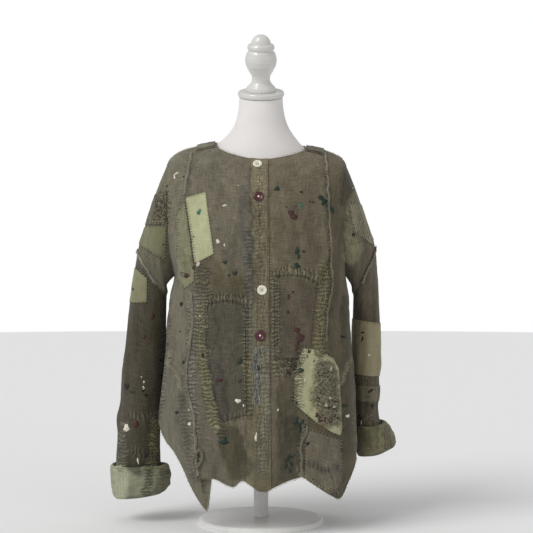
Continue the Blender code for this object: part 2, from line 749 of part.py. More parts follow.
def ribbon(cloth, line, rows):
    """A narrow strip along a line of the cloth's points, between the points at its two sides."""
    outward_at = outward_near(cloth)
    piece = bmesh.new()
    outward = piece.verts.layers.float_vector.new("outward")
    made = bmesh.ops.create_grid(piece, x_segments=2, y_segments=rows, size=0.5)["verts"]
    for vertex in made:
        row = round((0.5 - vertex.co.y) * rows)
        column = round((vertex.co.x + 0.5) * 2)
        before, middle, after = line(row)
        other = before if column == 0 else after
        share = 0 if column == 1 else STRIP_HALF_WIDTH / (other - middle).length
        vertex.co = middle.lerp(other, share)
        vertex[outward] = outward_at(middle).lerp(outward_at(other), share)
    return piece


def add_cloth_pieces(cloth):
    for name in CLOTH_PIECES:
        piece = faces_of(cloth, [name])
        draw_in(piece, (SLEEVE_GAP if "sleeve" in name else SEAM_GAP) / 2)
        thicken(piece, -CLOTH, 0)
        add_object(name, piece, material(name, OLIVE, 0.9))


def add_front_patches(cloth):
    for name, outline in FRONT_PATCHES.items():
        piece = faces_of(cloth, BODY_FRONT)
        cut_to(piece, outline)
        low = LAY_GAP if name != "patch_light_front" else 2 * LAY_GAP + PATCH
        thicken(piece, low, low + PATCH)
        colour = next((c for word, c in PATCH_COLOURS.items() if word in name), OLIVE)
        add_object(name, piece, material(name, colour, 0.9))
    band = faces_of(cloth, BODY_FRONT)
    cut_to(band, BAND_OUTLINE)
    thicken(band, LAY_GAP, LAY_GAP + BAND)
    return add_object("button_band", band, material("button_band", OLIVE, 0.9))


def add_sleeve_patches(cloth):
    for name, (side, half, back, outline) in SLEEVE_PATCHES.items():
        piece = faces_of(cloth, [{-1: "right", 1: "left"}[side] + "_" + half + "_sleeve"])
        cut_by(piece, [((0, back, 0), (0, 1, 0))])
        cut_to(piece, outline)
        thicken(piece, LAY_GAP, LAY_GAP + PATCH)
        colour = next((c for word, c in PATCH_COLOURS.items() if word in name), OLIVE)
        add_object(name, piece, material(name, colour, 0.9))


def add_tabs(cloth):
    for name, (side, inner, outer, reach) in TABS.items():
        piece = faces_of(cloth, BODY_FRONT + ["back", "right_side_back", "left_side_back"])
        cut_by(piece, [
            ((side * inner, 0, 0), (-side, 0, 0)),
            ((side * outer, 0, 0), (side, 0, 0)),
            ((0, -reach, 0), (0, -1, 0)),
            ((0, reach, 0), (0, 1, 0)),
            ((0, 0, SHOULDER), (0, 0, -1)),
        ])
        thicken(piece, LAY_GAP, LAY_GAP + TAB)
        add_object(name, piece, material(name, OLIVE, 0.9))


def add_seam_strips(cloth):
    """The raw seam allowances that stand on the long seams and round the arms."""
    for name, (side, front, top, foot) in SEAM_STRIPS.items():
        where = {-1: "right", 1: "left"}[side]
        centre = PLACES[where + "_front"] if front else PLACES["back"]
        outer = PLACES[where + ("_side_front" if front else "_side_back")]
        seam = 1 if front or side > 0 else 0
        beside = abs(seam - 1 / (FRONT_COLUMNS if front else BACK_COLUMNS))
        outer_rows = LONG_ROWS if side < 0 else ROWS

        def line(row, centre=centre, outer=outer, beside=beside, seam=seam, outer_rows=outer_rows):
            share = (row + 1) / ROWS
            return (
                Vector(centre(beside, share)),
                Vector(centre(seam, share)),
                Vector(outer(1 / SIDE_COLUMNS, (row + 1) / outer_rows)),
            )

        piece = ribbon(cloth, line, ROWS - 1)
        cut_by(piece, [((0, 0, top), (0, 0, 1)), ((0, 0, foot), (0, 0, -1))])
        thicken(piece, STRIP_GAP, STRIP_GAP + SEAM_STRIP)
        add_object(name, piece, material(name, LIGHT_GREEN, 0.9))
    for side, where in ((-1, "right"), (1, "left")):
        last = len(SLEEVE[side])
        up = UPPER_STATIONS * (1 - 1 / UPPER_ROWS)
        down = UPPER_STATIONS + (last - UPPER_STATIONS) / LOWER_ROWS
        columns = round(2 * ARM_SEAM_REACH * SLEEVE_COLUMNS)

        def line(row, side=side, up=up, down=down):
            turn = ((row - columns / 2) / SLEEVE_COLUMNS) % 1
            return tuple(sleeve_point(side, turn, along) for along in (up, UPPER_STATIONS, down))

        piece = ribbon(cloth, line, columns)
        thicken(piece, STRIP_GAP, STRIP_GAP + SEAM_STRIP)
        add_object("seam_" + where + "_arm", piece, material("seam_" + where + "_arm", LIGHT_GREEN, 0.9))


def add_cuffs():
    """The turned-up ends of the sleeves, each a short flared tube round its sleeve."""
    for side, where in ((-1, "right"), (1, "left")):
        last = len(SLEEVE[side])
        rings = CUFF_RINGS[side]
        piece = bmesh.new()
        outward = piece.verts.layers.float_vector.new("outward")
        made = bmesh.ops.create_grid(piece, x_segments=SLEEVE_COLUMNS, y_segments=len(rings) - 1, size=0.5)
        for vertex in made["verts"]:
            turn = round((vertex.co.x + 0.5) * SLEEVE_COLUMNS) / SLEEVE_COLUMNS % 1
            up, outer, inner, across = rings[round((vertex.co.y + 0.5) * (len(rings) - 1))]
            around = 2 * math.pi * turn
            way = Vector((side * math.cos(around), -math.sin(around), 0))
            share = abs(math.cos(around))
            stand = across + ((outer if math.cos(around) > 0 else inner) - across) * share
            vertex.co = sleeve_point(side, turn, last - up) + way * stand
            vertex[outward] = way
        bmesh.ops.remove_doubles(piece, verts=piece.verts, dist=WELD)
        thicken(piece, 0, CUFF)
        add_object(where + "_cuff", piece, material(where + "_cuff", SAGE, 0.9))


def turned(name, profile, finish, steps=24):
    """A turned shape: a profile from the top of its axis, out and down to the foot."""
    mesh = bpy.data.meshes.new(name)
    points = [(radius * MM, 0, height * MM) for radius, height in profile]
    mesh.from_pydata(points, [(i, i + 1) for i in range(len(points) - 1)], [])
    mesh.materials.append(finish)
    made = bpy.data.objects.new(name, mesh)
    screw = made.modifiers.new("turn", "SCREW")
    screw.steps = screw.render_steps = steps
    screw.use_merge_vertices = True
    screw.merge_threshold = 0.00001
    screw.use_smooth_shade = True
    PARTS.objects.link(made)
    return made


def add_buttons(band):
    """Each button sits on the band where it is highest under the button."""
    under = bmesh.new()
    under.from_mesh(band.data)
    tree = BVHTree.FromBMesh(under)
    for name, (x, z, diameter) in BUTTONS.items():
        radius = diameter / 2
        hits = []
        for part in range(9):
            reach = radius if part < 8 else 0
            aside, up = reach * math.cos(part * math.pi / 4), reach * math.sin(part * math.pi / 4)
            spot = Vector((x + aside, -2 * FRONT_DEPTH[0][1], z + up))
            hits.append(tree.ray_cast(spot * MM, Vector((0, 1, 0))))
        face = sum((hit[1] for hit in hits if hit[0]), Vector()).normalized()
        middle = hits[8][0]
        proud = max((hit[0] - middle).dot(face) for hit in hits if hit[0])
        white = "white" in name
        profile = [(share * radius, height) for share, height in BUTTON_PROFILE]
        made = turned(name, profile, material(name, IVORY if white else BURGUNDY, 0.35), 16)
        lean = face.to_track_quat("Z", "Y").to_matrix().to_4x4()
        made.matrix_world = Matrix.Translation(middle + face * (proud + BUTTON_GAP * MM)) @ lean
    under.free()


def clamp(share):
    return min(max(share, 0.0), 1.0)


def form_ring(ring, turn):
    """A point of one ring of the torso."""
    side_height, front_height, back_height, width, front, back = ring
    x = width * math.sin(turn)
    ahead = math.cos(turn)
    z = side_height + ((front_height if ahead > 0 else back_height) - side_height) * abs(ahead)
    share = clamp((DROP_TOP - z) / DROP_TOP_FADE) * clamp((z - DROP_FOOT) / DROP_FOOT_FADE) * clamp(x / DROP_SIDE)
    return Vector((x, -(front if ahead > 0 else back) * ahead, z - FORM_LEFT_DROP * share))


def add_form(under):
    """The torso, raised until the cloth rests on its shoulders, with what stands on it and under it."""
    torso = bmesh.new()
    rows = len(FORM_RINGS) - 1
    made = bmesh.ops.create_grid(torso, x_segments=FORM_COLUMNS, y_segments=rows, size=0.5)["verts"]
    for vertex in made:
        turn = 2 * math.pi * round((vertex.co.x + 0.5) * FORM_COLUMNS) / FORM_COLUMNS
        vertex.co = form_ring(FORM_RINGS[round((0.5 - vertex.co.y) * rows)], turn)
    bmesh.ops.remove_doubles(torso, verts=torso.verts, dist=WELD)
    bmesh.ops.holes_fill(torso, edges=[edge for edge in torso.edges if edge.is_boundary])
    bmesh.ops.recalc_face_normals(torso, faces=torso.faces)
    bmesh.ops.translate(torso, vec=(0, 0, -TRIAL_DROP), verts=torso.verts)
    form_tree, cloth_tree = BVHTree.FromBMesh(torso), BVHTree.FromBMesh(under)
    gaps = []
    for tree, points, way in ((form_tree, under.verts, -1), (cloth_tree, torso.verts, 1)):
        for vertex in points:
            if vertex.co.z > SHOULDER_BAND:
                hit = tree.ray_cast(vertex.co, Vector((0, 0, way)))
                if hit[0]:
                    gaps.append(hit[3])
    rise = min(gaps) - CLOTH - FORM_SEAT
    bmesh.ops.translate(torso, vec=(0, 0, rise), verts=torso.verts)
    shift = rise - TRIAL_DROP
    neck_side, foot = FORM_RINGS[0][0], FORM_RINGS[-1][0] + shift
    add_object("form_torso", torso, material("form_torso", WHITE_CLOTH, 0.8))
    lacquer = material("white_lacquer", WHITE_LACQUER, 0.25)
    lean = Matrix.Rotation(NECK_TILT, 4, "X")
    up = lean @ Vector((0, 0, 1))
    seat = Vector((0, 0, neck_side + shift)) + up * SEAM_GAP
    cap = turned("neck_cap", CAP_PROFILE, lacquer)
    cap.matrix_world = Matrix.Translation(seat * MM) @ lean
    finial = turned("finial", FINIAL_PROFILE, lacquer)
    finial.matrix_world = Matrix.Translation((seat + up * (CAP_PROFILE[0][1] + SEAM_GAP)) * MM) @ lean
    post_top, post_foot = foot - SEAM_GAP, BASE_TOP + SEAM_GAP
    turned("post", [(0, post_top), (POST_RADIUS, post_top), (POST_RADIUS, post_foot), (0, post_foot)], lacquer, 20)
    turned("base_plate", BASE_PROFILE, lacquer, 40)


for old in list(bpy.data.objects):
    bpy.data.objects.remove(old)
PARTS = bpy.data.collections.new("patched_jacket")
bpy.context.scene.collection.children.link(PARTS)

sewn = sewn_surface()
add_cloth_pieces(sewn)
button_band = add_front_patches(sewn)
add_sleeve_patches(sewn)
add_tabs(sewn)
add_seam_strips(sewn)
add_cuffs()
bpy.context.view_layer.update()
add_buttons(button_band)
add_form(sewn)
bpy.context.view_layer.update()
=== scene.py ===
# %% [markdown]
# # A patched jacket on a dress form
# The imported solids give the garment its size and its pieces. This script dresses them: each cloth piece is made
# again as a thin, finely creased shell on the same surface, with its patches, raw seams, stitches and paint.

# %% Load the frame
import math
import random

import bmesh
import bpy
import numpy as np
from mathutils import Matrix, Vector, noise
from mathutils.bvhtree import BVHTree
from mathutils.kdtree import KDTree


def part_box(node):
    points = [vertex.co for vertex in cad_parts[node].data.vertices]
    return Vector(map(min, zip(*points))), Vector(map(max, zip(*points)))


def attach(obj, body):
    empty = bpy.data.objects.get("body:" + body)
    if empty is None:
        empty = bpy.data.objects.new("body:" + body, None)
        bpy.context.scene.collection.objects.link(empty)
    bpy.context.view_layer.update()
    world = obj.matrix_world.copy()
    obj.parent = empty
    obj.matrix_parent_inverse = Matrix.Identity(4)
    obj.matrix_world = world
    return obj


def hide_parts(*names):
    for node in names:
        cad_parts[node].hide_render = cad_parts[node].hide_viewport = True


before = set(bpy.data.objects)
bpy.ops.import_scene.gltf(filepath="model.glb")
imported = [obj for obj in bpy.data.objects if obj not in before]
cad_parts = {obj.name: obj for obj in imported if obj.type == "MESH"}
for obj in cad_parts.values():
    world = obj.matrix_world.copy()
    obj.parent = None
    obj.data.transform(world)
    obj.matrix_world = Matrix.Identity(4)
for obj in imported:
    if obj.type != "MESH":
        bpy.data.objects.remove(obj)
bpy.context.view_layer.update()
print(len(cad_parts), "packed solids")

MM = 0.001
RIGHT_ANGLE = math.pi / 2
dice = random.Random(11)

# %% [markdown]
# The camera comes first, because some work on the cloth is placed by where it shows in the photograph. It stands
# 3 m in front, level, with no shift. One pixel is 2.2 mm wide at the form's middle, and a nearer place is
# drawn larger by the share that it is nearer.

# %% Camera
EYE = Vector((12.1, -3000.0, 564.0))
FRAME_WIDTH = 533
PIXEL = 2.2
lens = bpy.data.cameras.new("camera")
lens.sensor_fit = "HORIZONTAL"
lens.angle = 2 * math.atan(FRAME_WIDTH * PIXEL / 2 / -EYE.y)


def new_object(name, data):
    """An object in the scene that shows a mesh, a curve, a light or a camera."""
    made = bpy.data.objects.new(name, data)
    bpy.context.scene.collection.objects.link(made)
    return made


camera = new_object("camera", lens)
camera.location = EYE * MM
camera.rotation_euler = (RIGHT_ANGLE, 0, 0)
bpy.context.scene.camera = camera


def toward(across, down):
    """The way from the camera to a pixel of the photograph."""
    half = FRAME_WIDTH / 2
    return Vector(((across - half) * PIXEL, -EYE.y, (half - down) * PIXEL)).normalized()


def pixel_of(points):
    """Where points in millimetres show: pixels across and down, as two arrays."""
    points = np.asarray(points, float).reshape(-1, 3)
    near = -EYE.y / (points[:, 1] - EYE.y) / PIXEL
    half = FRAME_WIDTH / 2
    return half + (points[:, 0] - EYE.x) * near, half - (points[:, 2] - EYE.z) * near


print("the field is", round(math.degrees(lens.angle), 1), "degrees wide")

# %% [markdown]
# ## The garment's surface
# Loose cloth on a form is one smooth surface with folds in it. It is worked out from tables of sizes in
# millimetres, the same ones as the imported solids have, so that each fine piece lies where its solid lies. A point
# is given by an angle round the body and a level, its height at the front centre.

# %% Sizes of the body and its seams
ROWS = 20
LONG_ROWS = 22
ARMHOLE_ROWS = 8
SLEEVE_COLUMNS = 2 * ARMHOLE_ROWS
FRONT_COLUMNS = 6
SIDE_COLUMNS = 4
BACK_COLUMNS = 11
RIDGE_COLUMNS = 2
NECK_SHARE = 1 - RIDGE_COLUMNS / FRONT_COLUMNS
# Levels: neckline at the front centre, top of the armholes, armpits
NECK = 794.0
SHOULDER = 735.0
ARMPIT = 546.0
SHOULDER_TOP = {-1: 790.0, 1: 788.0}

# The body's section at each level. Side -1 is the wearer's right and 1 the left
HALF_WIDTH = {
    -1: [(50, 203), (100, 206), (170, 214), (226, 219), (270, 217), (380, 207), (424, 205), (500, 198),
         (546, 188), (735, 205), (746, 195), (760, 172), (778, 134), (794, 99)],
    1: [(60, 206), (143, 209), (270, 207), (340, 203), (380, 198), (446, 194), (500, 191),
        (546, 184), (735, 186), (746, 176), (760, 155), (778, 128), (794, 98)],
}
RIDGE_HEIGHT = {
    -1: [(735, 790), (746, 804), (760, 819), (778, 829), (794, 836)],
    1: [(735, 788), (746, 803), (760, 814), (778, 822), (794, 827)],
}
FRONT_DEPTH = [(50, 168), (100, 166), (200, 161), (300, 154), (400, 146), (480, 141), (546, 143), (600, 142),
               (650, 137), (700, 127), (735, 115), (760, 100), (778, 87), (794, 74)]
BACK_DEPTH = [(50, 160), (100, 157), (200, 151), (300, 142), (400, 130), (480, 122), (546, 121), (600, 120),
              (650, 118), (700, 112), (735, 103), (760, 92), (778, 81), (794, 69)]
BACK_LIFT = [(546, 0), (650, 14), (735, 38), (794, 50)]
SECTION_POWER = 0.9
LIFT_POWER = 1.3
TOP_FADE = 8

# The armhole: how far it bulges to the front and back, and its sideways place from armpit to top
ARMHOLE_BULGE = {True: 74.0, False: 76.0}
ARMHOLE_X = {
    -1: [(0, 188), (0.2, 196), (0.6, 198), (1, 205)],
    1: [(0, 184), (0.22, 178), (0.62, 170), (1, 186)],
}

# Seams that run from the shoulder ridge to the hem: sideways place at each level
FRONT_SEAM = {
    -1: [(51, 111), (141, 130), (221, 135), (258, 137), (296, 149), (338, 154), (396, 147), (495, 143),
         (600, 152), (690, 160), (750, 154), (772, 150)],
    1: [(120, 86), (190, 84), (220, 95), (318, 118), (382, 133), (415, 136), (470, 141), (536, 148),
        (599, 146), (690, 142), (750, 140), (770, 139)],
}
BACK_SEAM = {
    -1: [(75, 115), (250, 112), (400, 110), (600, 118), (700, 132), (772, 150)],
    1: [(75, 105), (250, 106), (400, 108), (600, 116), (700, 128), (770, 139)],
}

# The centre front, where the two fronts meet under the button band, and the band's outline in the front view
FRONT_EDGE = -5.0
BAND_OUTLINE = [(-21, 815), (15, 815), (22, 60), (-30, 60)]

# The hem of each piece: height at sideways places, from one seam to the next
HEM = {
    "right_front": [(-111, 122), (-88, 117), (-75, 110), (-56, 105), (-39, 118), (-24, 112), (-5, 98)],
    "left_front": [(-5, 98), (12, 97), (35, 107), (60, 117), (86, 124)],
    "right_side_front": [(-222, 226), (-206, 179), (-174, 146), (-150, 98), (-126, 62), (-111, 51)],
    "left_side_front": [(86, 124), (103, 112), (126, 95), (148, 79), (172, 67), (191, 100), (210, 143)],
    "right_side_back": [(-222, 226), (-200, 172), (-170, 122), (-140, 84), (-115, 74)],
    "left_side_back": [(105, 112), (135, 80), (165, 72), (190, 105), (210, 143)],
    "back": [(-115, 114), (-60, 98), (0, 86), (60, 98), (105, 112)],
}
HEM_SIDE = {-1: 226.0, 1: 143.0}
CENTRE_HEM = 98.0
# Where each long seam ends: the hem of the piece towards the centre, and the tip of the piece at the side
SEAM_HEM = {(-1, True): (122, 51), (1, True): (124, 124), (-1, False): (114, 74), (1, False): (112, 112)}

# Flutes of the skirt, which fade out upwards: where they start and where they are full, their height, and each
# wave's share, number round the body and phase
FLUTE_LEVEL = 470.0
FLUTE_FULL = 80.0
FLUTE_HEIGHT = 7.0
FLUTE_WAVES = [(0.7, 9, 0.6), (0.3, 5, 2.1)]
# The large creases of the front (True) and of the back: from and to (sideways, height), half-width and height of
# the ridge. They fade towards the side seams, over CREASE_FADE, and towards both ends
CREASE_FADE = 60.0
CREASE_END_FADE = 0.7
CREASES = {
    True: [
        ((-150, 760), (-168, 560), 13, 3.5),
        ((-120, 700), (-60, 610), 22, 3.0),
        ((-182, 560), (-120, 470), 16, 4.0),
        ((168, 560), (110, 470), 16, 4.0),
        ((95, 760), (40, 640), 22, 3.0),
        ((-100, 420), (-92, 180), 20, 4.0),
        ((60, 430), (48, 200), 20, 4.0),
    ],
    False: [
        ((-120, 760), (-70, 600), 24, 4.0),
        ((120, 760), (70, 600), 24, 4.0),
        ((-170, 560), (-90, 470), 18, 4.5),
        ((170, 560), (90, 470), 18, 4.5),
        ((0, 640), (10, 300), 24, 4.5),
    ],
}

# A sleeve's stations: outer edge (sideways, height), inner edge, middle of its depth, half its depth
SLEEVE = {
    -1: [
        ((236, 704), (208, 524), -2, 67),
        ((258, 645), (207, 508), 10, 61),
        ((271, 600), (210, 492), 22, 55),
        ((289, 486), (212, 425), 36, 50),
        ((301, 380), (213, 350), 42, 47),
        ((311, 275), (219, 262), 43, 45),
        ((319, 190), (226, 182), 40, 44),
        ((322, 50), (222, 62), 38, 44),
    ],
    1: [
        ((217, 704), (199, 524), 4, 66),
        ((239, 645), (203, 508), 20, 61),
        ((252, 606), (206, 494), 34, 57),
        ((262, 486), (206, 440), 60, 54),
        ((266, 380), (205, 360), 72, 52),
        ((264, 320), (205, 306), 75, 51),
        ((262, 250), (208, 240), 74, 50),
        ((276, 150), (219, 140), 70, 50),
    ],
}
UPPER_STATIONS = 3
UPPER_ROWS = 6
LOWER_ROWS = 12
# Folds of the sleeves. The cross ones pile up about PILE_PLACE, within PILE_REACH of it
SLEEVE_FOLD = 3.0
FOLD_START = 0.6
PILE_PLACE = 6.4
PILE_REACH = 1.6

# %% Curves through the tables
def smooth_curve(points):
    """A smooth function through (input, output) points, level outside them."""
    slopes = []
    for i in range(len(points)):
        before = points[max(i - 1, 0)]
        after = points[min(i + 1, len(points) - 1)]
        slopes.append((after[1] - before[1]) / (after[0] - before[0]))

    def value(x):
        if x <= points[0][0]:
            return points[0][1]
        for i in range(1, len(points)):
            if x <= points[i][0]:
                break
        else:
            return points[-1][1]
        span = points[i][0] - points[i - 1][0]
        t = (x - points[i - 1][0]) / span
        rise = points[i][1] - points[i - 1][1]
        bend = (1 - t) * (slopes[i - 1] * span - rise) - t * (slopes[i] * span - rise)
        return points[i - 1][1] + t * rise + t * (1 - t) * bend

    return value


half_width = {side: smooth_curve(points) for side, points in HALF_WIDTH.items()}
ridge_height = {side: smooth_curve(points) for side, points in RIDGE_HEIGHT.items()}
depth_at = {True: smooth_curve(FRONT_DEPTH), False: smooth_curve(BACK_DEPTH)}
back_lift = smooth_curve(BACK_LIFT)
armhole_x = {side: smooth_curve(points) for side, points in ARMHOLE_X.items()}
seam_x = {
    (side, front): smooth_curve(table[side])
    for front, table in ((True, FRONT_SEAM), (False, BACK_SEAM))
    for side in (-1, 1)
}
hem_height = {name: smooth_curve(points) for name, points in HEM.items()}

# %% The body's section, its folds and its points
def section(side, front, level):
    """The body's quarter section at a level: half-width, depth, edge angle and the edge's height."""
    depth = depth_at[front](level)
    if ARMPIT < level < SHOULDER:
        share = (level - ARMPIT) / (SHOULDER - ARMPIT)
        bulge = ARMHOLE_BULGE[front] * math.sqrt(1 - (2 * share - 1) ** 2)
        edge = math.acos((bulge / depth) ** (1 / SECTION_POWER))
        width = armhole_x[side](share) / math.sin(edge) ** SECTION_POWER
        return width, depth, edge, ARMPIT + (SHOULDER_TOP[side] - ARMPIT) * share
    edge_height = level if level <= ARMPIT else ridge_height[side](level)
    return half_width[side](level), depth, RIGHT_ANGLE, edge_height


def ridge(point, start, end, half_wide, height):
    """A soft ridge from start to end in the front view, fading at both ends."""
    start, end = Vector(start), Vector(end)
    along = end - start
    share = (point - start).dot(along) / along.length_squared
    away = (point - start - along * min(max(share, 0), 1)).length
    fade = max(0.0, 1 - (2 * share - 1) ** 2 * CREASE_END_FADE)
    return height * fade * math.exp(-((away / half_wide) ** 2))


def drape(x, y, z, angle, level, front):
    """How far the folds lift the cloth off its smooth section."""
    lift = 0.0
    if level < FLUTE_LEVEL:
        grow = ((FLUTE_LEVEL - level) / (FLUTE_LEVEL - FLUTE_FULL)) ** LIFT_POWER
        lift += FLUTE_HEIGHT * grow * sum(share * math.cos(n * angle + phase) for share, n, phase in FLUTE_WAVES)
    towards_side = min(1.0, abs(y) / CREASE_FADE)
    for start, end, half_wide, height in CREASES[front]:
        lift += towards_side * ridge(Vector((x, z)), start, end, half_wide, height)
    return lift


def body_point(angle, level):
    """A point of the body's outer surface, in millimetres."""
    angle = math.remainder(angle, 2 * math.pi)
    side = -1 if angle < 0 else 1
    front = abs(angle) <= RIGHT_ANGLE + 1e-9
    turn = max(abs(angle) if front else math.pi - abs(angle), 0.0)
    width, depth, edge, edge_height = section(side, front, level)
    centre_height = level if front else level + back_lift(level)
    z = centre_height + (edge_height - centre_height) * (turn / edge) ** LIFT_POWER
    x = side * width * math.sin(turn) ** SECTION_POWER
    y = (-1 if front else 1) * depth * max(math.cos(turn), 0) ** SECTION_POWER
    outward = Vector((x / width**2, y / depth**2, 0)).normalized()
    lift = drape(x, y, z, angle, level, front)
    return Vector((x, y, z)) + outward * lift


# %% Seams, edges and the hem
def angle_at(side, front, level, x):
    """The angle at which the body's section reaches a sideways place."""
    width = section(side, front, level)[0]
    turn = math.asin(min(1.0, x / width) ** (1 / SECTION_POWER))
    return side * (turn if front else math.pi - turn)


def ridge_level(side):
    """The level at which the shoulder ridge is as far out as the long seams."""
    low, high = SHOULDER, NECK
    goal = FRONT_SEAM[side][-1][1]
    for _ in range(40):
        middle = (low + high) / 2
        low, high = (middle, high) if half_width[side](middle) > goal else (low, middle)
    return low


def level_of_row(row, start, hem, tip=None):
    """The level of a row: gently to the armpit's row, as the armhole's rows go, evenly to the hem, then to the tip."""
    if row > ROWS:
        return hem + (tip - hem) * (row - ROWS) / (LONG_ROWS - ROWS)
    if row > ARMHOLE_ROWS:
        return ARMPIT + (hem - ARMPIT) * (row - ARMHOLE_ROWS) / (ROWS - ARMHOLE_ROWS)
    part = row / ARMHOLE_ROWS
    return start + (ARMPIT - start) * (0.5 * part + 0.25 * (1 - math.cos(math.pi * part)))


def seam_line(side, front):
    """A long seam: the angle and level at each row."""
    start = ridge_level(side)
    hem, tip = SEAM_HEM[side, front]

    def at(row):
        level = level_of_row(row, start, hem, tip)
        if row <= 0:
            return side * RIGHT_ANGLE, start
        return angle_at(side, front, level, seam_x[side, front](level)), level

    return at


def edge_line(side, front):
    """The armhole's edge and then the side seam, at each row."""
    last = LONG_ROWS if side < 0 else ROWS

    def at(row):
        if row > ARMHOLE_ROWS:
            share = (row - ARMHOLE_ROWS) / (last - ARMHOLE_ROWS)
            return side * RIGHT_ANGLE, ARMPIT + (HEM_SIDE[side] - ARMPIT) * share
        level = ARMPIT + (SHOULDER - ARMPIT) * (1 + math.cos(math.pi * row / ARMHOLE_ROWS)) / 2
        turn = section(side, front, level)[2] if 0 < row < ARMHOLE_ROWS else RIGHT_ANGLE
        return side * (turn if front else math.pi - turn), level

    return at


def centre_line(row):
    """The line where the two fronts meet, at each row."""
    if row > ARMHOLE_ROWS:
        level = level_of_row(row, NECK, CENTRE_HEM)
    else:
        level = NECK + (ARMPIT - NECK) * row / ARMHOLE_ROWS
    return angle_at(-1, True, level, -FRONT_EDGE), level


def hem_line(name, left, right):
    """The hem between two seams, given by their (angle, level) at the hem."""
    height = hem_height[name]

    def at(share):
        angle = left[0] + (right[0] - left[0]) * share
        return angle, height(body_point(angle, (left[1] + right[1]) / 2).x)

    return at


def neck_line(side):
    """The neckline from the front centre to the neck's corner, then the shoulder ridge out to the long seam."""
    near_centre, seam_level = centre_line(0)[0], ridge_level(side)

    def at(share):
        if share <= NECK_SHARE:
            return near_centre + (side * RIGHT_ANGLE - near_centre) * share / NECK_SHARE, NECK
        part = (share - NECK_SHARE) / (1 - NECK_SHARE)
        return side * RIGHT_ANGLE, NECK + (seam_level - NECK) * part

    return at


def back_neck_line(share):
    """The whole top of the back: ridge, neckline and ridge."""
    corner = RIDGE_COLUMNS / BACK_COLUMNS
    side = -1 if share < 0.5 else 1
    inset = min(share, 1 - share)
    if inset < corner:
        start = ridge_level(side)
        level = start + (NECK - start) * inset / corner
    else:
        level = NECK
    part = min(max((share - corner) / (1 - 2 * corner), 0), 1)
    return -RIGHT_ANGLE - math.pi * part, level


def shoulder_line(side):
    """The shoulder ridge from the long seam out to the armhole."""
    start = ridge_level(side)

    def at(share):
        return side * RIGHT_ANGLE, start + (SHOULDER - start) * share

    return at


def mix(a, b, share):
    return a[0] * (1 - share) + b[0] * share, a[1] * (1 - share) + b[1] * share


def stretched_over(top, bottom, start, end, rows):
    """A grid's point inside four boundary lines. u runs from start to end, w from top to bottom.

    The bend of the top line is lost within a few rows, and that of the hem spreads over them all.
    """

    def at(u, w):
        across = mix(start(w * rows), end(w * rows), u)
        high, low = top(u), bottom(u)
        high_chord, low_chord = mix(top(0), top(1), u), mix(bottom(0), bottom(1), u)
        high_share, low_share = (1 - w) ** TOP_FADE, w
        return tuple(
            across[i] + (high[i] - high_chord[i]) * high_share + (low[i] - low_chord[i]) * low_share
            for i in (0, 1)
        )

    return at


# %% [markdown]
# A sleeve is a tube through rings. Its first ring is the armhole, and cloth piles up in cross folds above the cuff.

# %% Sleeves
def armhole_ring(side, turn):
    """A point of the armhole, from its top (0) by the front to the armpit (half) and up the back."""
    front = turn <= 0.5
    share = (turn if front else 1 - turn) * 2
    return body_point(*edge_line(side, front)(share * ARMHOLE_ROWS))


def station_ring(side, station, turn, grow=0.0):
    """A point of a sleeve's section, grown outwards by some millimetres."""
    outer, inner, middle_y, depth = station
    outer, inner = Vector(outer), Vector(inner)
    middle, half = (outer + inner) / 2, (outer - inner) / 2
    half = half * (1 + grow / half.length)
    around = 2 * math.pi * turn
    flat = middle + half * math.cos(around)
    return Vector((side * flat.x, middle_y - (depth + grow) * math.sin(around), flat.y))


def sleeve_point(side, turn, along, grow=0.0):
    """A point of a sleeve: along runs from 0 at the armhole, by 1 for each station."""
    stations = SLEEVE[side]
    rings = [armhole_ring(side, turn)] + [station_ring(side, station, turn, grow) for station in stations]
    last = len(rings) - 1
    i = min(int(max(along, 0)), last - 1)
    t = along - i
    before = rings[i] - (rings[i + 1] - rings[i]) if i == 0 else rings[i - 1]
    after = rings[i + 1] + (rings[i + 1] - rings[i]) if i + 2 > last else rings[i + 2]
    start, end = rings[i], rings[i + 1]
    leave, reach = (end - before) / 2, (after - start) / 2
    point = (
        start * (2 * t**3 - 3 * t**2 + 1)
        + leave * (t**3 - 2 * t**2 + t)
        + end * (3 * t**2 - 2 * t**3)
        + reach * (t**3 - t**2)
    )
    # Folds: long soft ones, and cross ones where the cloth piles up above the cuff
    around = 2 * math.pi * turn
    swell = min(1.0, max(0.0, along - FOLD_START)) * min(1.0, max(0.0, last - along) * 2)
    pile = max(0.0, 1 - abs(along - PILE_PLACE) / PILE_REACH)
    fold = 0.6 * math.cos(3 * around + 1.1 * along) + 0.8 * pile * math.cos(5.5 * along + 1.4 * math.cos(around))
    inward_side = 0.5 + 0.5 * math.cos(around)
    outward = Vector((side * math.cos(around), -math.sin(around), 0)).normalized()
    return point + outward * SLEEVE_FOLD * swell * inward_side * fold
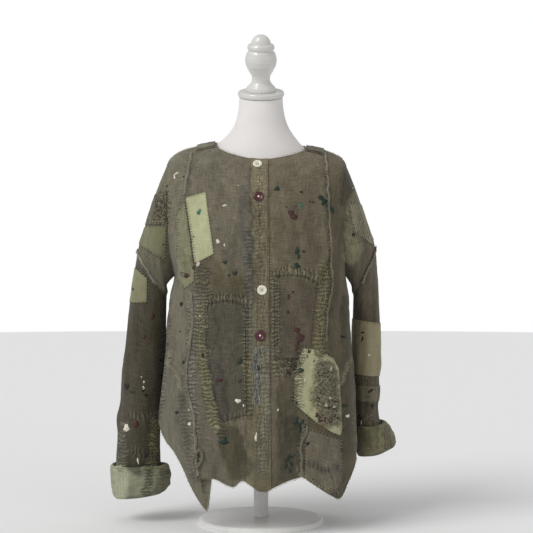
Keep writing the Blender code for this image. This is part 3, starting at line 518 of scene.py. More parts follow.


# %% [markdown]
# ## Fine folds
# Worn gauze is never smooth. Creases follow the photograph: pulls from the neck and the armpits, and
# long soft troughs down the skirt. Under them lies a fine crinkle that only lifts the cloth, so that it never sinks
# into the form or into a neighbour.

# %% Fine creases
FINE_CREASES = {
    True: [
        ((-60, 790), (-120, 640), 7, 2.2), ((-86, 780), (-150, 700), 6, 2.0), ((-30, 720), (-70, 600), 6, 1.6),
        ((-160, 640), (-120, 560), 6, 2.4), ((-180, 600), (-140, 500), 7, 2.6), ((-70, 560), (-50, 440), 7, 1.8),
        ((60, 700), (120, 560), 7, 2.6), ((40, 640), (90, 520), 7, 2.2), ((150, 620), (110, 520), 6, 2.6),
        ((170, 580), (150, 420), 8, 3.0), ((185, 560), (178, 380), 7, 3.0), ((20, 560), (60, 430), 7, 1.8),
        ((-118, 460), (-72, 230), 9, 3.6), ((-60, 300), (-52, 120), 9, 3.2), ((-90, 240), (-78, 120), 9, 2.8),
        ((-150, 420), (-130, 120), 10, 3.4), ((-176, 330), (-150, 150), 9, 2.8), ((36, 300), (30, 110), 9, 3.4),
        ((66, 260), (76, 120), 9, 3.0), ((8, 280), (4, 110), 8, 2.6), ((120, 220), (150, 90), 9, 2.6),
        ((186, 400), (180, 160), 10, 3.2), ((-196, 480), (-190, 250), 9, 2.6), ((-10, 250), (-12, 100), 8, 2.4),
    ],
    False: [
        ((-70, 780), (-110, 640), 8, 2.4), ((70, 780), (110, 640), 8, 2.4), ((-160, 640), (-90, 520), 8, 2.8),
        ((160, 640), (90, 520), 8, 2.8), ((-40, 520), (-50, 200), 10, 3.4), ((46, 500), (60, 180), 10, 3.4),
        ((-110, 420), (-120, 130), 10, 3.2), ((112, 420), (124, 130), 10, 3.2), ((0, 300), (-8, 110), 9, 3.0),
        ((-180, 420), (-176, 200), 9, 2.8), ((180, 420), (176, 200), 9, 2.8), ((20, 730), (10, 560), 9, 2.0),
    ],
}


FINE_CREASE_GROWTH = 1.7


def crinkle(point):
    """The small uneven lift of worn gauze at a place, from 0 to about 2 mm."""
    wide = noise.noise(point * (1 / 42)) + 0.45 * noise.noise(point * (1 / 17) + Vector((9, 4, 2)))
    fine = noise.noise(Vector((point.x / 8, point.y / 8, point.z / 13)))
    return max(0.0, 0.8 + 1.3 * wide + 0.45 * fine)


def fine_body_point(angle, level):
    """A point of the body with its fine creases, which fade out at the top where the cloth rests on the form."""
    point = body_point(angle, level)
    front = abs(math.remainder(angle, 2 * math.pi)) <= RIGHT_ANGLE
    loose = min(1.0, max(0.0, (SHOULDER + 25 - point.z) / 60))
    lift = 0.35 + (0.3 + 0.7 * loose) * crinkle(point) * 1.3
    for start, end, half_wide, height in FINE_CREASES[front]:
        raised = ridge(Vector((point.x, point.z)), start, end, half_wide, FINE_CREASE_GROWTH * height)
        lift += loose * min(1.0, abs(point.y) / 50) * raised
    outward = Vector((point.x / 200**2, point.y / 140**2, 0)).normalized()
    return point + outward * lift


def fine_sleeve_point(side, turn, along):
    """A point of a sleeve with its crinkle and with long folds that run down the arm."""
    point = sleeve_point(side, turn, along)
    around = 2 * math.pi * turn
    outward = Vector((side * math.cos(around), -math.sin(around), 0))
    last = len(SLEEVE[side])
    swell = min(1.0, max(0.0, along * 1.5)) * min(1.0, max(0.0, (last - along) * 2))
    outer = 0.35 + 0.65 * (0.5 + 0.5 * math.cos(around - 0.5))
    folds = 1.3 * (1 + math.cos(7 * around + 1.7 * along)) + 1.1 * (1 + math.cos(11 * around - 2.3 * along))
    return point + outward * swell * (0.2 + outer * (0.5 * folds + 0.7 * crinkle(point)))


# %% [markdown]
# ## Sewn pieces
# Each piece of the pattern is a grid stretched over the surface, about 3 mm to a face. Its UV map holds real
# distances along the cloth, in metres, so that a weave keeps its thread spacing wherever the piece bends.

# %% Grids on the surface
SHEETS = {}


def grid_of(columns, rows):
    """A flat grid as a bmesh, and the (column, row) of each of its points, counted from the upper left.

    Its layer for the outward directions is made first, because a new layer drops the points made before it.
    """
    sheet = bmesh.new()
    sheet.verts.layers.float_vector.new("outward")
    made = bmesh.ops.create_grid(sheet, x_segments=columns, y_segments=rows, size=0.5)["verts"]
    return sheet, {
        vertex: (round((vertex.co.x + 0.5) * columns), round((0.5 - vertex.co.y) * rows)) for vertex in made
    }


def area_of(piece):
    return sum(face.calc_area() for face in piece.faces) * MM * MM


def map_weave(sheet, place):
    """Writes the weave's UV map: for each point, its place on the flat cloth in metres."""
    weave = sheet.loops.layers.uv.new("weave")
    for face in sheet.faces:
        for loop in face.loops:
            loop[weave].uv = place(loop.vert)


def fine_piece(name, columns, rows, place):
    """A grid whose points are placed by a function of (across, down), both 0 to 1."""
    sheet, spots = grid_of(columns, rows)
    for vertex, (column, row) in spots.items():
        vertex.co = Vector(place(column / columns, row / rows))
    places = {spot: vertex.co for vertex, spot in spots.items()}
    lengths = {}
    for row in range(rows + 1):
        total = 0.0
        lengths[0, row] = 0.0
        for column in range(1, columns + 1):
            total += (places[column, row] - places[column - 1, row]).length
            lengths[column, row] = total
    middle = columns // 2
    downs = [0.0]
    for row in range(1, rows + 1):
        downs.append(downs[-1] + (places[middle, row] - places[middle, row - 1]).length)

    def flat_place(vertex):
        column, row = spots[vertex]
        return (lengths[column, row] - lengths[middle, row]) * MM, -downs[row] * MM

    map_weave(sheet, flat_place)
    outward = sheet.verts.layers.float_vector["outward"]
    sheet.normal_update()
    centres = [(face.normal, face.calc_center_median()) for face in sheet.faces]
    if sum(normal.dot(centre - axis_near(centre)) for normal, centre in centres) < 0:
        bmesh.ops.reverse_faces(sheet, faces=sheet.faces)
        sheet.normal_update()
    for vertex in sheet.verts:
        vertex[outward] = vertex.normal
    widest = max(lengths[columns, row] for row in range(rows + 1)) * MM
    SHEETS[name] = {"mesh": sheet, "flat": (widest, downs[-1] * MM), "area": area_of(sheet)}


def axis_near(point):
    """A point inside the garment beside a place: the body's axis, or that of the sleeve it is on."""
    if abs(point.x) > 205 and point.z < 720:
        return Vector((math.copysign(250 if point.x < 0 else 232, point.x), 50, point.z))
    return Vector((0, 0, point.z))


# %% The body's seven pieces
FINE = 10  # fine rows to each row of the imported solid
for side, name in ((-1, "right"), (1, "left")):
    seam = seam_line(side, True)
    patch = stretched_over(
        neck_line(side), hem_line(name + "_front", centre_line(ROWS), seam(ROWS)), centre_line, seam, ROWS
    )
    fine_piece(name + "_front", FRONT_COLUMNS * 8, ROWS * FINE, lambda u, w, patch=patch: fine_body_point(*patch(u, w)))
    rows = LONG_ROWS if side < 0 else ROWS
    for front, where in ((True, "_side_front"), (False, "_side_back")):
        seam, edge = seam_line(side, front), edge_line(side, front)
        patch = stretched_over(shoulder_line(side), hem_line(name + where, seam(rows), edge(rows)), seam, edge, rows)
        fine_piece(
            name + where, SIDE_COLUMNS * (8 if front else 5), rows * FINE,
            lambda u, w, patch=patch: fine_body_point(*patch(u, w)),
        )
right_seam, left_seam = seam_line(-1, False), seam_line(1, False)


def left_seam_on(row):
    angle, level = left_seam(row)
    return angle - 2 * math.pi, level


patch = stretched_over(
    back_neck_line, hem_line("back", right_seam(ROWS), left_seam_on(ROWS)), right_seam, left_seam_on, ROWS
)
fine_piece("back", BACK_COLUMNS * 6, ROWS * FINE, lambda u, w: fine_body_point(*patch(u, w)))

# %% The four sleeve pieces
for side, name in ((-1, "right"), (1, "left")):
    last = len(SLEEVE[side])
    fine_piece(
        name + "_upper_sleeve", SLEEVE_COLUMNS * 5, UPPER_ROWS * 9,
        lambda u, w, side=side: fine_sleeve_point(side, u % 1, w * UPPER_STATIONS),
    )
    fine_piece(
        name + "_lower_sleeve", SLEEVE_COLUMNS * 5, LOWER_ROWS * 10,
        lambda u, w, side=side, last=last: fine_sleeve_point(
            side, u % 1, UPPER_STATIONS + w * (last - UPPER_STATIONS)
        ),
    )
for name, sheet in SHEETS.items():
    print(name, "cut", [round(x, 3) for x in sheet["flat"]], "m, area", round(sheet["area"], 4), "m2")

# %% [markdown]
# Cutting tools. A piece's outline is drawn in a little at its seams, a wall is made by extruding the sheet along
# its own outward directions, and a patch is cut out of the pieces under it with planes.

# %% Cutting tools
WELD = 0.01


def draw_in(piece, distance):
    """Moves the piece's outline inwards along the cloth, which opens the seam to its neighbours."""
    inward = {}
    for edge in piece.edges:
        if not edge.is_boundary:
            continue
        face = edge.link_faces[0]
        along = (edge.verts[1].co - edge.verts[0].co).normalized()
        across = face.normal.cross(along).normalized()
        middle = (edge.verts[0].co + edge.verts[1].co) / 2
        if across.dot(face.calc_center_median() - middle) < 0:
            across.negate()
        for vertex in edge.verts:
            inward.setdefault(vertex, []).append(across)
    for vertex, ways in inward.items():
        total = sum(ways, Vector())
        spread = 1 + (ways[0].dot(ways[1]) if len(ways) == 2 else 1)
        vertex.co += total / max(spread, 0.5) * distance


def thicken(piece, low, high):
    """Makes a closed wall of an open surface, from low to high along each point's outward."""
    outward = piece.verts.layers.float_vector["outward"]
    made = bmesh.ops.extrude_face_region(piece, geom=piece.faces[:], use_keep_orig=True)
    raised = {item for item in made["geom"] if isinstance(item, bmesh.types.BMVert)}
    for vertex in piece.verts:
        vertex.co += vertex[outward].normalized() * (high if vertex in raised else low)
    bmesh.ops.recalc_face_normals(piece, faces=piece.faces)


def drop_slivers(piece):
    """Keeps only the largest run of faces that share edges."""
    left = set(piece.faces)
    largest = []
    while left:
        run = [left.pop()]
        for face in run:
            beside = {other for edge in face.edges for other in edge.link_faces} & left
            left -= beside
            run.extend(sorted(beside, key=lambda other: other.index))
        largest = max(largest, run, key=len)
    rest = set(piece.faces) - set(largest)
    bmesh.ops.delete(piece, geom=list(rest), context="FACES")


def cut_by(piece, planes):
    """Cuts away what lies outside each plane, given by a point of it and its outside."""
    for place, outside in planes:
        bmesh.ops.bisect_plane(
            piece, geom=piece.verts[:] + piece.edges[:] + piece.faces[:], dist=2 * WELD,
            plane_co=place, plane_no=outside, clear_outer=True,
        )
    drop_slivers(piece)


def cut_to(piece, outline):
    """Keeps what lies inside a convex outline of the front view, whose corners go round it either way."""
    sides = list(zip(outline, outline[1:] + outline[:1]))
    turn = 1 if sum(a[0] * b[1] - b[0] * a[1] for a, b in sides) > 0 else -1
    cut_by(piece, [
        ((start[0], 0, start[1]), (turn * (end[1] - start[1]), 0, turn * (start[0] - end[0])))
        for start, end in sides
    ])


# %% [markdown]
# ## Dye and painted shade
# Each panel was dyed and faded on its own, and stains and sewn bands change its colour again. Some soft areas are
# painted shade instead: dark lines along the button band's edges and in a crease of the light patch. The colour is
# painted on the points of the mesh: a colour for the piece, darker towards its foot, then soft areas placed in the
# photograph's frame. A second layer says where stitching puckers the cloth: its red channel for upright seams, its
# green for level ones, and its blue for darning.

# %% Colours
def linear(code):
    """An sRGB hex colour as linear red, green and blue."""
    values = [int(code[i : i + 2], 16) / 255 for i in (1, 3, 5)]
    return [v / 12.92 if v <= 0.04045 else ((v + 0.055) / 1.055) ** 2.4 for v in values]


PIECE_DYE_AND_SHADE = {
    "right_front": "#6c6656", "left_front": "#69614f", "right_side_front": "#6f6a59", "left_side_front": "#5e5642",
    "right_side_back": "#605b4a", "left_side_back": "#534d3f", "back": "#625c4b",
    "right_upper_sleeve": "#65614f", "left_upper_sleeve": "#5c5344", "right_lower_sleeve": "#4e483a",
    "left_lower_sleeve": "#5d5646", "button_band": "#79715a", "patch_chest_light": "#b0b18c",
    # The darker tone of patch_chest_olive is partly fading and partly painted shade of the fold beside
    # patch_chest_light
    "patch_chest_olive": "#7e7d62", "pocket_right": "#555144", "pocket_left": "#605748",
    "patch_light_front": "#bbb892", "patch_grey_hem": "#736b5b", "patch_sleeve_right_darned": "#615d4a",
    "patch_sleeve_right_olive": "#727155", "patch_sleeve_right_light": "#878667", "patch_sleeve_left_olive": "#807b65",
    "patch_sleeve_left_light": "#9e9676", "patch_sleeve_left_speckled": "#776f5a", "shoulder_tab_right": "#6f6a59",
    "shoulder_tab_left": "#595446", "raw_seam": "#7c7769", "right_cuff": "#96987f", "left_cuff": "#878264",
}
# The gussets' seams in the sides of the front, in pixels of the photograph
GUSSETS = (
    [(167, 352), (169, 362), (174, 373), (178, 382), (182.5, 389)], [(352, 357), (348, 366), (343, 376), (340, 385)],
)
# Soft areas on the front: colour, how much of it shows, how strongly the cloth puckers there as (upright, level,
# darned), half its width and its line, both in pixels of the photograph
AREAS = [
    ("#706a54", 0.8, (0, 1, 0), 4.5, [(204, 316), (206, 307), (215, 299), (230, 298), (241, 300), (250, 307)]),
    ("#706a53", 0.8, (0, 1, 0), 5, [(275, 274), (285, 271), (296, 271), (307, 274), (318, 281)]),
    ("#6d6953", 0.7, (1, 0, 0), 4, [(275, 275), (276, 320), (277, 372)]),
    ("#6c674e", 0.7, (1, 0, 0), 4, [(248, 308), (247, 360), (249, 415)]),
    ("#767153", 0.85, (1, 0, 0), 5.5, [(203, 302), (202, 340), (206, 380), (213, 415), (221, 434)]),
    ("#716c62", 0.7, (0.8, 0, 0), 5, [(194, 300), (192, 350), (191, 392), (196, 432)]),
    ("#746e4e", 0.85, (1, 0, 0), 6, [(325, 268), (323, 300), (319, 352)]),
    ("#67645d", 0.5, (0.4, 0, 0), 5, [(249, 232), (249, 300), (250, 345)]),
    ("#60666a", 0.75, (0.5, 0, 0.6), 4, [(257, 350), (257, 400)]),
    ("#7c7a6a", 0.5, (0.4, 0, 0), 5, [(266, 350), (266, 420), (262, 470)]),
    ("#5e573e", 0.6, (0, 0, 0), 10, [(232, 432), (235, 470)]),
    ("#4a4634", 0.6, (0, 0, 0), 9, [(289, 385), (288, 465)]),
    ("#4f4939", 0.6, (0, 0, 1), 8, [(288, 366), (292, 368)]),
    ("#5f5846", 0.5, (0, 0.5, 0), 5, [(222, 420), (250, 414)]),
    ("#696253", 0.6, (0, 0, 0), 10, [(225, 200), (228, 255)]),
    ("#625c45", 0.6, (0, 0, 0), 12, [(222, 275), (235, 285)]),
    ("#615948", 0.6, (0, 0, 0), 12, [(300, 215), (310, 255)]),
    ("#454030", 0.6, (0, 0, 0), 6, [(346, 300), (348, 450)]),
    ("#7e7953", 0.7, (0.9, 0, 0), 4, [(154, 422), (152, 468)]),
    ("#6c6756", 0.7, (0.9, 0, 0), 4, [(124, 424), (122, 468)]),
    ("#413d30", 0.7, (0, 0, 0), 7, [(138, 424), (136, 468)]),
    ("#5f5948", 0.6, (0, 0.8, 0), 3, [(132, 416), (154, 417)]),
    ("#676251", 0.6, (0.9, 0, 0), 3, [(168, 300), (164, 360), (160, 416)]),
    ("#423e30", 0.7, (0, 0, 0), 8, [(350, 172), (346, 198)]),
    ("#504b3a", 0.5, (0, 0.8, 0), 5, [(135, 452), (160, 458)]),
    ("#88836d", 0.75, (0, 0, 0), 1.2, GUSSETS[0]),
    ("#88836d", 0.75, (0, 0, 0), 1.2, GUSSETS[1]),
    ("#736d59", 0.85, (0, 0, 1), 10, [(326, 371), (330, 400), (328, 418)]),
    ("#4f4839", 0.5, (0, 0, 0), 5, [(209, 330), (214, 372), (222, 414)]),
    ("#959275", 0.7, (0, 0.6, 0), 2.5, [(299, 469), (312, 484), (326, 492)]),
    # Painted shadow: dark lines along the button band's left edge, where it lies over the front, and along its right
    # fold
    ("#2f2c26", 0.75, (0, 0, 0), 0.5, [(250.5, 166), (251, 230), (251, 279)]),
    ("#2f2c26", 0.6, (0, 0, 0), 0.4, [(268, 166), (268, 262), (269, 330), (270, 400)]),
    ("#5d5946", 0.0, (0.35, 0.3, 0), 5, [(260, 172), (261, 280), (262, 340), (262, 470)]),
    # Painted shadow that widens the dark line beside the button band's left edge
    ("#35322b", 0.5, (0, 0, 0), 2.5, [(252, 200), (252, 262), (254, 300)]),
    ("#4c4a4a", 0.5, (0, 0, 0), 4, [(243, 190), (242, 226), (246, 262)]),
    ("#4f4633", 0.55, (0, 0, 0), 13, [(204, 262), (216, 290), (236, 290)]),
    ("#55503f", 0.5, (0.7, 0, 0), 8, [(202, 272), (205, 300)]),
    ("#393628", 0.6, (0, 0, 0), 12, [(228, 436), (240, 468)]),
    ("#1f1d18", 0.8, (0, 0, 0), 1.6, [(199, 454), (197, 464)]),
    ("#57524a", 0.6, (0.4, 0, 0), 7, [(183, 400), (188, 440), (196, 476)]),
    # Painted shade in a crease of the light patch
    ("#77754f", 0.6, (0, 0, 0), 2, [(314, 372), (312, 395), (311, 410)]),
    ("#a3a17d", 0.0, (0.9, 0, 0), 5, [(300, 354), (298, 380), (298, 404)]),
    ("#2b2922", 0.8, (0, 0, 0), 0.5, [(205, 306), (207, 340), (212, 372), (218, 408), (222, 422)]),
    ("#55504a", 0.6, (0.2, 0, 0), 3.5, [(210, 312), (214, 345), (219, 385), (225, 418)]),
    ("#33302a", 0.5, (0, 0, 0), 1.2, [(215, 305), (218, 345), (224, 385), (229, 416)]),
    ("#3a372c", 0.55, (0, 0, 0), 9, [(292, 425), (290, 476)]),
    ("#2c2a23", 0.7, (0, 0, 0), 0.7, [(278, 270), (279, 340), (278, 440)]),
    ("#4a4639", 0.4, (0, 0, 0), 5, [(283, 290), (284, 350)]),
    ("#23211c", 0.7, (0, 0, 0), 0.6, [(306, 432), (301, 452), (300, 470)]),
    ("#3c382f", 0.4, (0, 0.5, 0), 3, [(305, 462), (322, 470), (336, 468)]),
    ("#3c382f", 0.4, (0, 0.5, 0), 3, [(303, 478), (320, 488), (334, 494)]),
    ("#2a2822", 0.6, (0, 0, 0), 0.5, [(191, 165), (188, 190), (186, 200)]),
    ("#77725b", 0.8, (0, 0, 0), 9, [(357, 200), (355, 225), (353, 255)]),
    ("#6b6a54", 0.6, (1, 0, 0), 4, [(150, 466), (147, 496)]),
    ("#74735a", 0.7, (0.25, 0, 0), 8, [(164, 468), (162, 488)]),
    ("#4a4839", 0.6, (0, 0, 0), 1.6, [(112, 500), (125, 499.5), (140, 497), (154, 494), (166, 488)]),
    ("#a3a68a", 0.8, (0, 0.15, 0), 7, [(120, 470), (121, 494)]),
    ("#3f3c30", 0.6, (0, 0, 0), 1.6, [(358, 456), (370, 457), (382, 454), (392, 447)]),
    ("#5f5c48", 0.7, (0, 0.5, 0), 5, [(386, 430), (390, 440), (388, 448)]),
    ("#6f6e54", 0.6, (0, 0, 0), 6, [(362, 438), (372, 436)]),
    ("#35332a", 0.6, (0, 0, 0), 0.7, [(376, 428), (379, 438), (377, 449)]),
]


FOOT_DARKENING = 0.2  # how much darker the cloth is towards its foot


def reach_of(across, down, line):
    """How far each place is from a line in the photograph, in pixels."""
    best = np.full(across.shape, 1e9)
    for (ax, ay), (bx, by) in zip(line, line[1:]):
        long = max((bx - ax) ** 2 + (by - ay) ** 2, 1e-9)
        share = np.clip(((across - ax) * (bx - ax) + (down - ay) * (by - ay)) / long, 0, 1)
        best = np.minimum(best, np.hypot(across - ax - share * (bx - ax), down - ay - share * (by - ay)))
    return best


def paint_dye_and_shade(mesh, colour, areas=True):
    """Writes the two colour layers of a mesh that is still in millimetres."""
    count = len(mesh.vertices)
    places = np.zeros(count * 3)
    mesh.vertices.foreach_get("co", places)
    places = places.reshape(-1, 3)
    across, down = pixel_of(places)
    across = across + 1.2 * np.sin(places[:, 2] / 9.0) + 0.8 * np.sin(places[:, 2] / 3.7)
    down = down + 1.2 * np.sin(places[:, 0] / 8.0)
    dye = np.ones((count, 4))
    dye[:, :3] = np.array(linear(colour)) * (1 - FOOT_DARKENING * np.clip((650 - places[:, 2]) / 270, 0, 1))[:, None]
    pucker = np.zeros((count, 4))
    pucker[:, 3] = 1
    if areas:
        shown = places[:, 1] < 60
        for tint, share, strength, half, line in AREAS:
            soft = np.clip((half + 1.5 - reach_of(across, down, line)) / 3, 0, 1) * shown
            dye[:, :3] += (np.array(linear(tint)) - dye[:, :3]) * (share * soft)[:, None]
            pucker[:, :3] = np.maximum(pucker[:, :3], np.array(strength) * soft[:, None])
    for name, values in (("dye", dye), ("pucker", pucker)):
        layer = mesh.color_attributes.new(name, "FLOAT_COLOR", "POINT")
        layer.data.foreach_set("color", values.ravel())


# %% [markdown]
# ## Faded linen gauze
# The cloth is loosely woven linen, dyed after sewing and faded in wear. Its threads are uneven, so light slubs run
# along both ways of the weave. Real threads lie about 0.8 mm apart, which is finer than a pixel here, so the slubs
# are drawn 2.4 mm apart. Fibres catch a little light at the edges, which is sheen, and nothing else shines.

# %% One function that adds a node
def add_node(material, kind, settings, inputs):
    """Adds a shader node with its settings, and its inputs as values or as other nodes' outputs."""
    tree = material.node_tree
    made = tree.nodes.new("ShaderNode" + kind)
    for name, value in settings.items():
        setattr(made, name, value)
    for name, value in inputs.items():
        if isinstance(value, bpy.types.NodeSocket):
            tree.links.new(value, made.inputs[name])
        else:
            made.inputs[name].default_value = value
    return made


def new_material(name, roughness, sockets):
    """A material with one Principled shader, whose plain values are set on its own sockets."""
    made = bpy.data.materials.new(name)
    made.use_nodes = True
    surface = made.node_tree.nodes["Principled BSDF"]
    surface.inputs["Roughness"].default_value = roughness
    for socket, value in sockets.items():
        surface.inputs[socket].default_value = value
    return made, surface


def tinted(made, surface, colour, grain_mm, detail, low, high, reach=(0.3, 0.7)):
    """Colours a material by noise of a grain size, from low to high times its colour. Gives back the noise."""
    solid = add_node(made, "TexCoord", {}, {})
    grain = add_node(made, "TexNoise", {}, {
        "Vector": solid.outputs["Object"], "Scale": 1000 / grain_mm, "Detail": detail,
    }).outputs["Fac"]
    share = add_node(made, "MapRange", {}, {
        "Value": grain, "From Min": reach[0], "From Max": reach[1], "To Min": low, "To Max": high,
    }).outputs[0]
    shade = add_node(made, "VectorMath", {"operation": "SCALE"}, {0: linear(colour), "Scale": share}).outputs[0]
    made.node_tree.links.new(shade, surface.inputs["Base Color"])
    return grain


# %% Linen gauze
def woven(name, thread_mm, slub, mottle, crease_mm):
    """Woven cloth. thread_mm is the drawn thread spacing, slub and mottle how uneven its colour is."""
    made, surface = new_material(name, 0.92, {
        "Specular IOR Level": 0.2, "Sheen Weight": 0.12, "Sheen Roughness": 0.6,
    })
    dye = add_node(made, "Attribute", {"attribute_name": "dye"}, {})
    pucker = add_node(made, "Attribute", {"attribute_name": "pucker"}, {})
    kinds = add_node(made, "SeparateColor", {}, {"Color": pucker.outputs["Color"]})
    flat = add_node(made, "UVMap", {"uv_map": "weave"}, {})
    solid = add_node(made, "TexCoord", {}, {})
    per = 1000 / thread_mm

    def threads(scale, seed):
        moved = add_node(made, "Mapping", {}, {
            "Vector": flat.outputs["UV"], "Scale": scale, "Location": (seed, seed, 0),
        })
        return add_node(made, "TexNoise", {"noise_dimensions": "2D"}, {
            "Vector": moved.outputs["Vector"], "Scale": 1.0, "Detail": 2.0, "Roughness": 0.6,
        }).outputs["Fac"]

    weft, warp = threads((per / 14, per, 1), 3), threads((per, per / 14, 1), 7)
    slubs = add_node(made, "Math", {"operation": "ADD"}, {0: weft, 1: warp}).outputs[0]
    tone = add_node(made, "MapRange", {}, {
        "Value": slubs, "From Min": 0.75, "From Max": 1.25, "To Min": 1 - slub, "To Max": 1 + slub,
    }).outputs[0]
    drawn_out = add_node(made, "Mapping", {}, {"Vector": solid.outputs["Object"], "Scale": (1, 1, 0.35)}).outputs[0]
    patchy = add_node(made, "TexNoise", {}, {
        "Vector": drawn_out, "Scale": 1000 / 32, "Detail": 5.0, "Roughness": 0.68,
    }).outputs["Fac"]
    faded = add_node(made, "MapRange", {}, {
        "Value": patchy, "From Min": 0.3, "From Max": 0.7, "To Min": 1 - mottle, "To Max": 1 + mottle,
    }).outputs[0]

    def ridges(scale):
        moved = add_node(made, "Mapping", {}, {"Vector": solid.outputs["Object"], "Scale": scale})
        return add_node(made, "TexNoise", {}, {
            "Vector": moved.outputs["Vector"], "Scale": 1.0, "Detail": 1.5, "Roughness": 0.5, "Distortion": 0.3,
        }).outputs["Fac"]

    def ribs(direction):
        banded = add_node(made, "TexWave", {"bands_direction": direction, "wave_profile": "SIN"}, {
            "Vector": solid.outputs["Object"], "Scale": 0.314 * 1000 / crease_mm, "Distortion": 9.0, "Detail": 3.0,
            "Detail Scale": 1.2, "Detail Roughness": 0.6,
        }).outputs["Fac"]
        return add_node(made, "MapRange", {}, {"Value": banded, "To Min": 0.27, "To Max": 0.68}).outputs[0]

    wave = 1000 / crease_mm
    parts = [
        (kinds.outputs[0], ribs("Z")),
        (kinds.outputs[1], ribs("X")),
        (kinds.outputs[2], ridges((wave * 1.6, wave * 1.6, wave * 1.6))),
    ]
    raised = None
    for share, height in parts:
        centred = add_node(made, "Math", {"operation": "SUBTRACT"}, {0: height, 1: 0.5}).outputs[0]
        if raised is None:
            raised = add_node(made, "Math", {"operation": "MULTIPLY"}, {0: share, 1: centred}).outputs[0]
        else:
            sum_up = add_node(made, "Math", {"operation": "MULTIPLY_ADD"}, {0: share, 1: centred, 2: raised})
            raised = sum_up.outputs[0]
    # worn is partly wear and partly painted shade: the colour is darker in the troughs of the pucker ribs and lighter
    # on their ridges
    worn = add_node(made, "MapRange", {}, {
        "Value": raised, "From Min": -0.16, "From Max": 0.16, "To Min": 0.62, "To Max": 1.38,
    }).outputs[0]
    small = add_node(made, "TexNoise", {}, {
        "Vector": solid.outputs["Object"], "Scale": 1000 / 9, "Detail": 3.0, "Roughness": 0.55,
    }).outputs["Fac"]
    shade = add_node(made, "Math", {"operation": "MULTIPLY"}, {0: tone, 1: faded}).outputs[0]
    shade = add_node(made, "Math", {"operation": "MULTIPLY"}, {0: shade, 1: worn}).outputs[0]
    colour = add_node(made, "VectorMath", {"operation": "SCALE"}, {0: dye.outputs["Color"], "Scale": shade}).outputs[0]
    made.node_tree.links.new(colour, surface.inputs["Base Color"])
    height = add_node(made, "Math", {"operation": "MULTIPLY_ADD"}, {0: raised, 1: 9.0, 2: small}).outputs[0]
    height = add_node(made, "Math", {"operation": "MULTIPLY_ADD"}, {0: slubs, 1: 0.25, 2: height}).outputs[0]
    bump = add_node(made, "Bump", {}, {"Height": height, "Strength": 0.9, "Distance": 1.2 * MM})
    made.node_tree.links.new(bump.outputs["Normal"], surface.inputs["Normal"])
    return made


LINEN = woven("faded_linen_gauze", 1.9, 0.28, 0.3, 8.5)
COTTON = woven("plain_weave_cotton_patch", 2.0, 0.1, 0.12, 6.0)


# %% [markdown]
# ## Cloth walls
# Each sheet becomes a closed wall 1.2 mm thick, drawn in by a hair at its seams. A patch is cut from a copy of the
# sheets under it, lifted by half a millimetre, so it follows every fold it is sewn over.

# %% Writing a piece
def finish_piece(name, piece, material, colour, areas=True):
    """Writes a bmesh in millimetres to an object that rides on the jacket's one body."""
    mesh = bpy.data.meshes.new(name)
    piece.to_mesh(mesh)
    paint_dye_and_shade(mesh, colour, areas)
    mesh.transform(Matrix.Scale(MM, 4))
    mesh.shade_smooth()
    mesh.set_sharp_from_angle(angle=math.radians(60))
    mesh.materials.append(material)
    made = new_object(name, mesh)
    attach(made, "root")
    return made


def as_cloth(node, flat, area):
    """Hides a piece's CAD node. The size that its cloth was cut to is worked out but not kept."""
    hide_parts(node)
    width, length = (round(x, 3) for x in flat)
    area = min(max(area, 0.31 * width * length), width * length)


CLOTH_WALL = 1.2
for name, sheet in SHEETS.items():
    piece = sheet["mesh"].copy()
    if "sleeve" in name:
        bmesh.ops.remove_doubles(piece, verts=piece.verts, dist=WELD)
    draw_in(piece, 0.25)
    thicken(piece, -CLOTH_WALL, 0)
    made = finish_piece(name + "_cloth", piece, LINEN, PIECE_DYE_AND_SHADE[name])
    as_cloth(name, sheet["flat"], sheet["area"])
    piece.free()

# %% [markdown]
# Patches overlap several sheets, so the sheets are joined first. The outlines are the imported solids' own.

# %% Joining the sheets
def joined(names):
    """One bmesh of several sheets, with their shared edges merged."""
    whole = bmesh.new()
    for name in names:
        mesh = bpy.data.meshes.new("part")
        SHEETS[name]["mesh"].to_mesh(mesh)
        whole.from_mesh(mesh)
        bpy.data.meshes.remove(mesh)
    bmesh.ops.remove_doubles(whole, verts=whole.verts, dist=WELD)
    return whole


BODY_FRONT = ["right_front", "left_front", "right_side_front", "left_side_front"]
BODY_BACK = ["right_side_back", "left_side_back", "back"]
# Patches and applied pieces on the front: outline in the front view, as (sideways, height)
FRONT_PATCHES = {
    "patch_chest_light": [(-159, 710), (-117, 722), (-99, 591), (-134, 573), (-139, 571)],
    "patch_chest_olive": [(-178, 678), (-161, 699), (-142, 569), (-141, 533), (-161, 517), (-178, 538)],
    "pocket_right": [(-122, 430), (-119, 468), (-112, 483), (-97, 488), (-65, 491), (-45, 487), (-33.5, 478),
                     (-31, 256), (-82, 240), (-99, 304), (-111, 367)],
    "pocket_left": [(29, 542), (50, 545), (72, 545), (93, 542), (118, 530), (113, 472), (105, 398), (97, 372),
                    (30, 372)],
    "patch_light_front": [(90, 392), (117, 389), (152, 369), (164, 345), (171, 217), (166, 206), (146, 216),
                          (113, 240), (69, 277), (69, 327), (80, 373)],
    "patch_grey_hem": [(101, 222), (170, 196), (172, 112), (148, 86), (107, 109), (93, 120), (93, 190)],
}
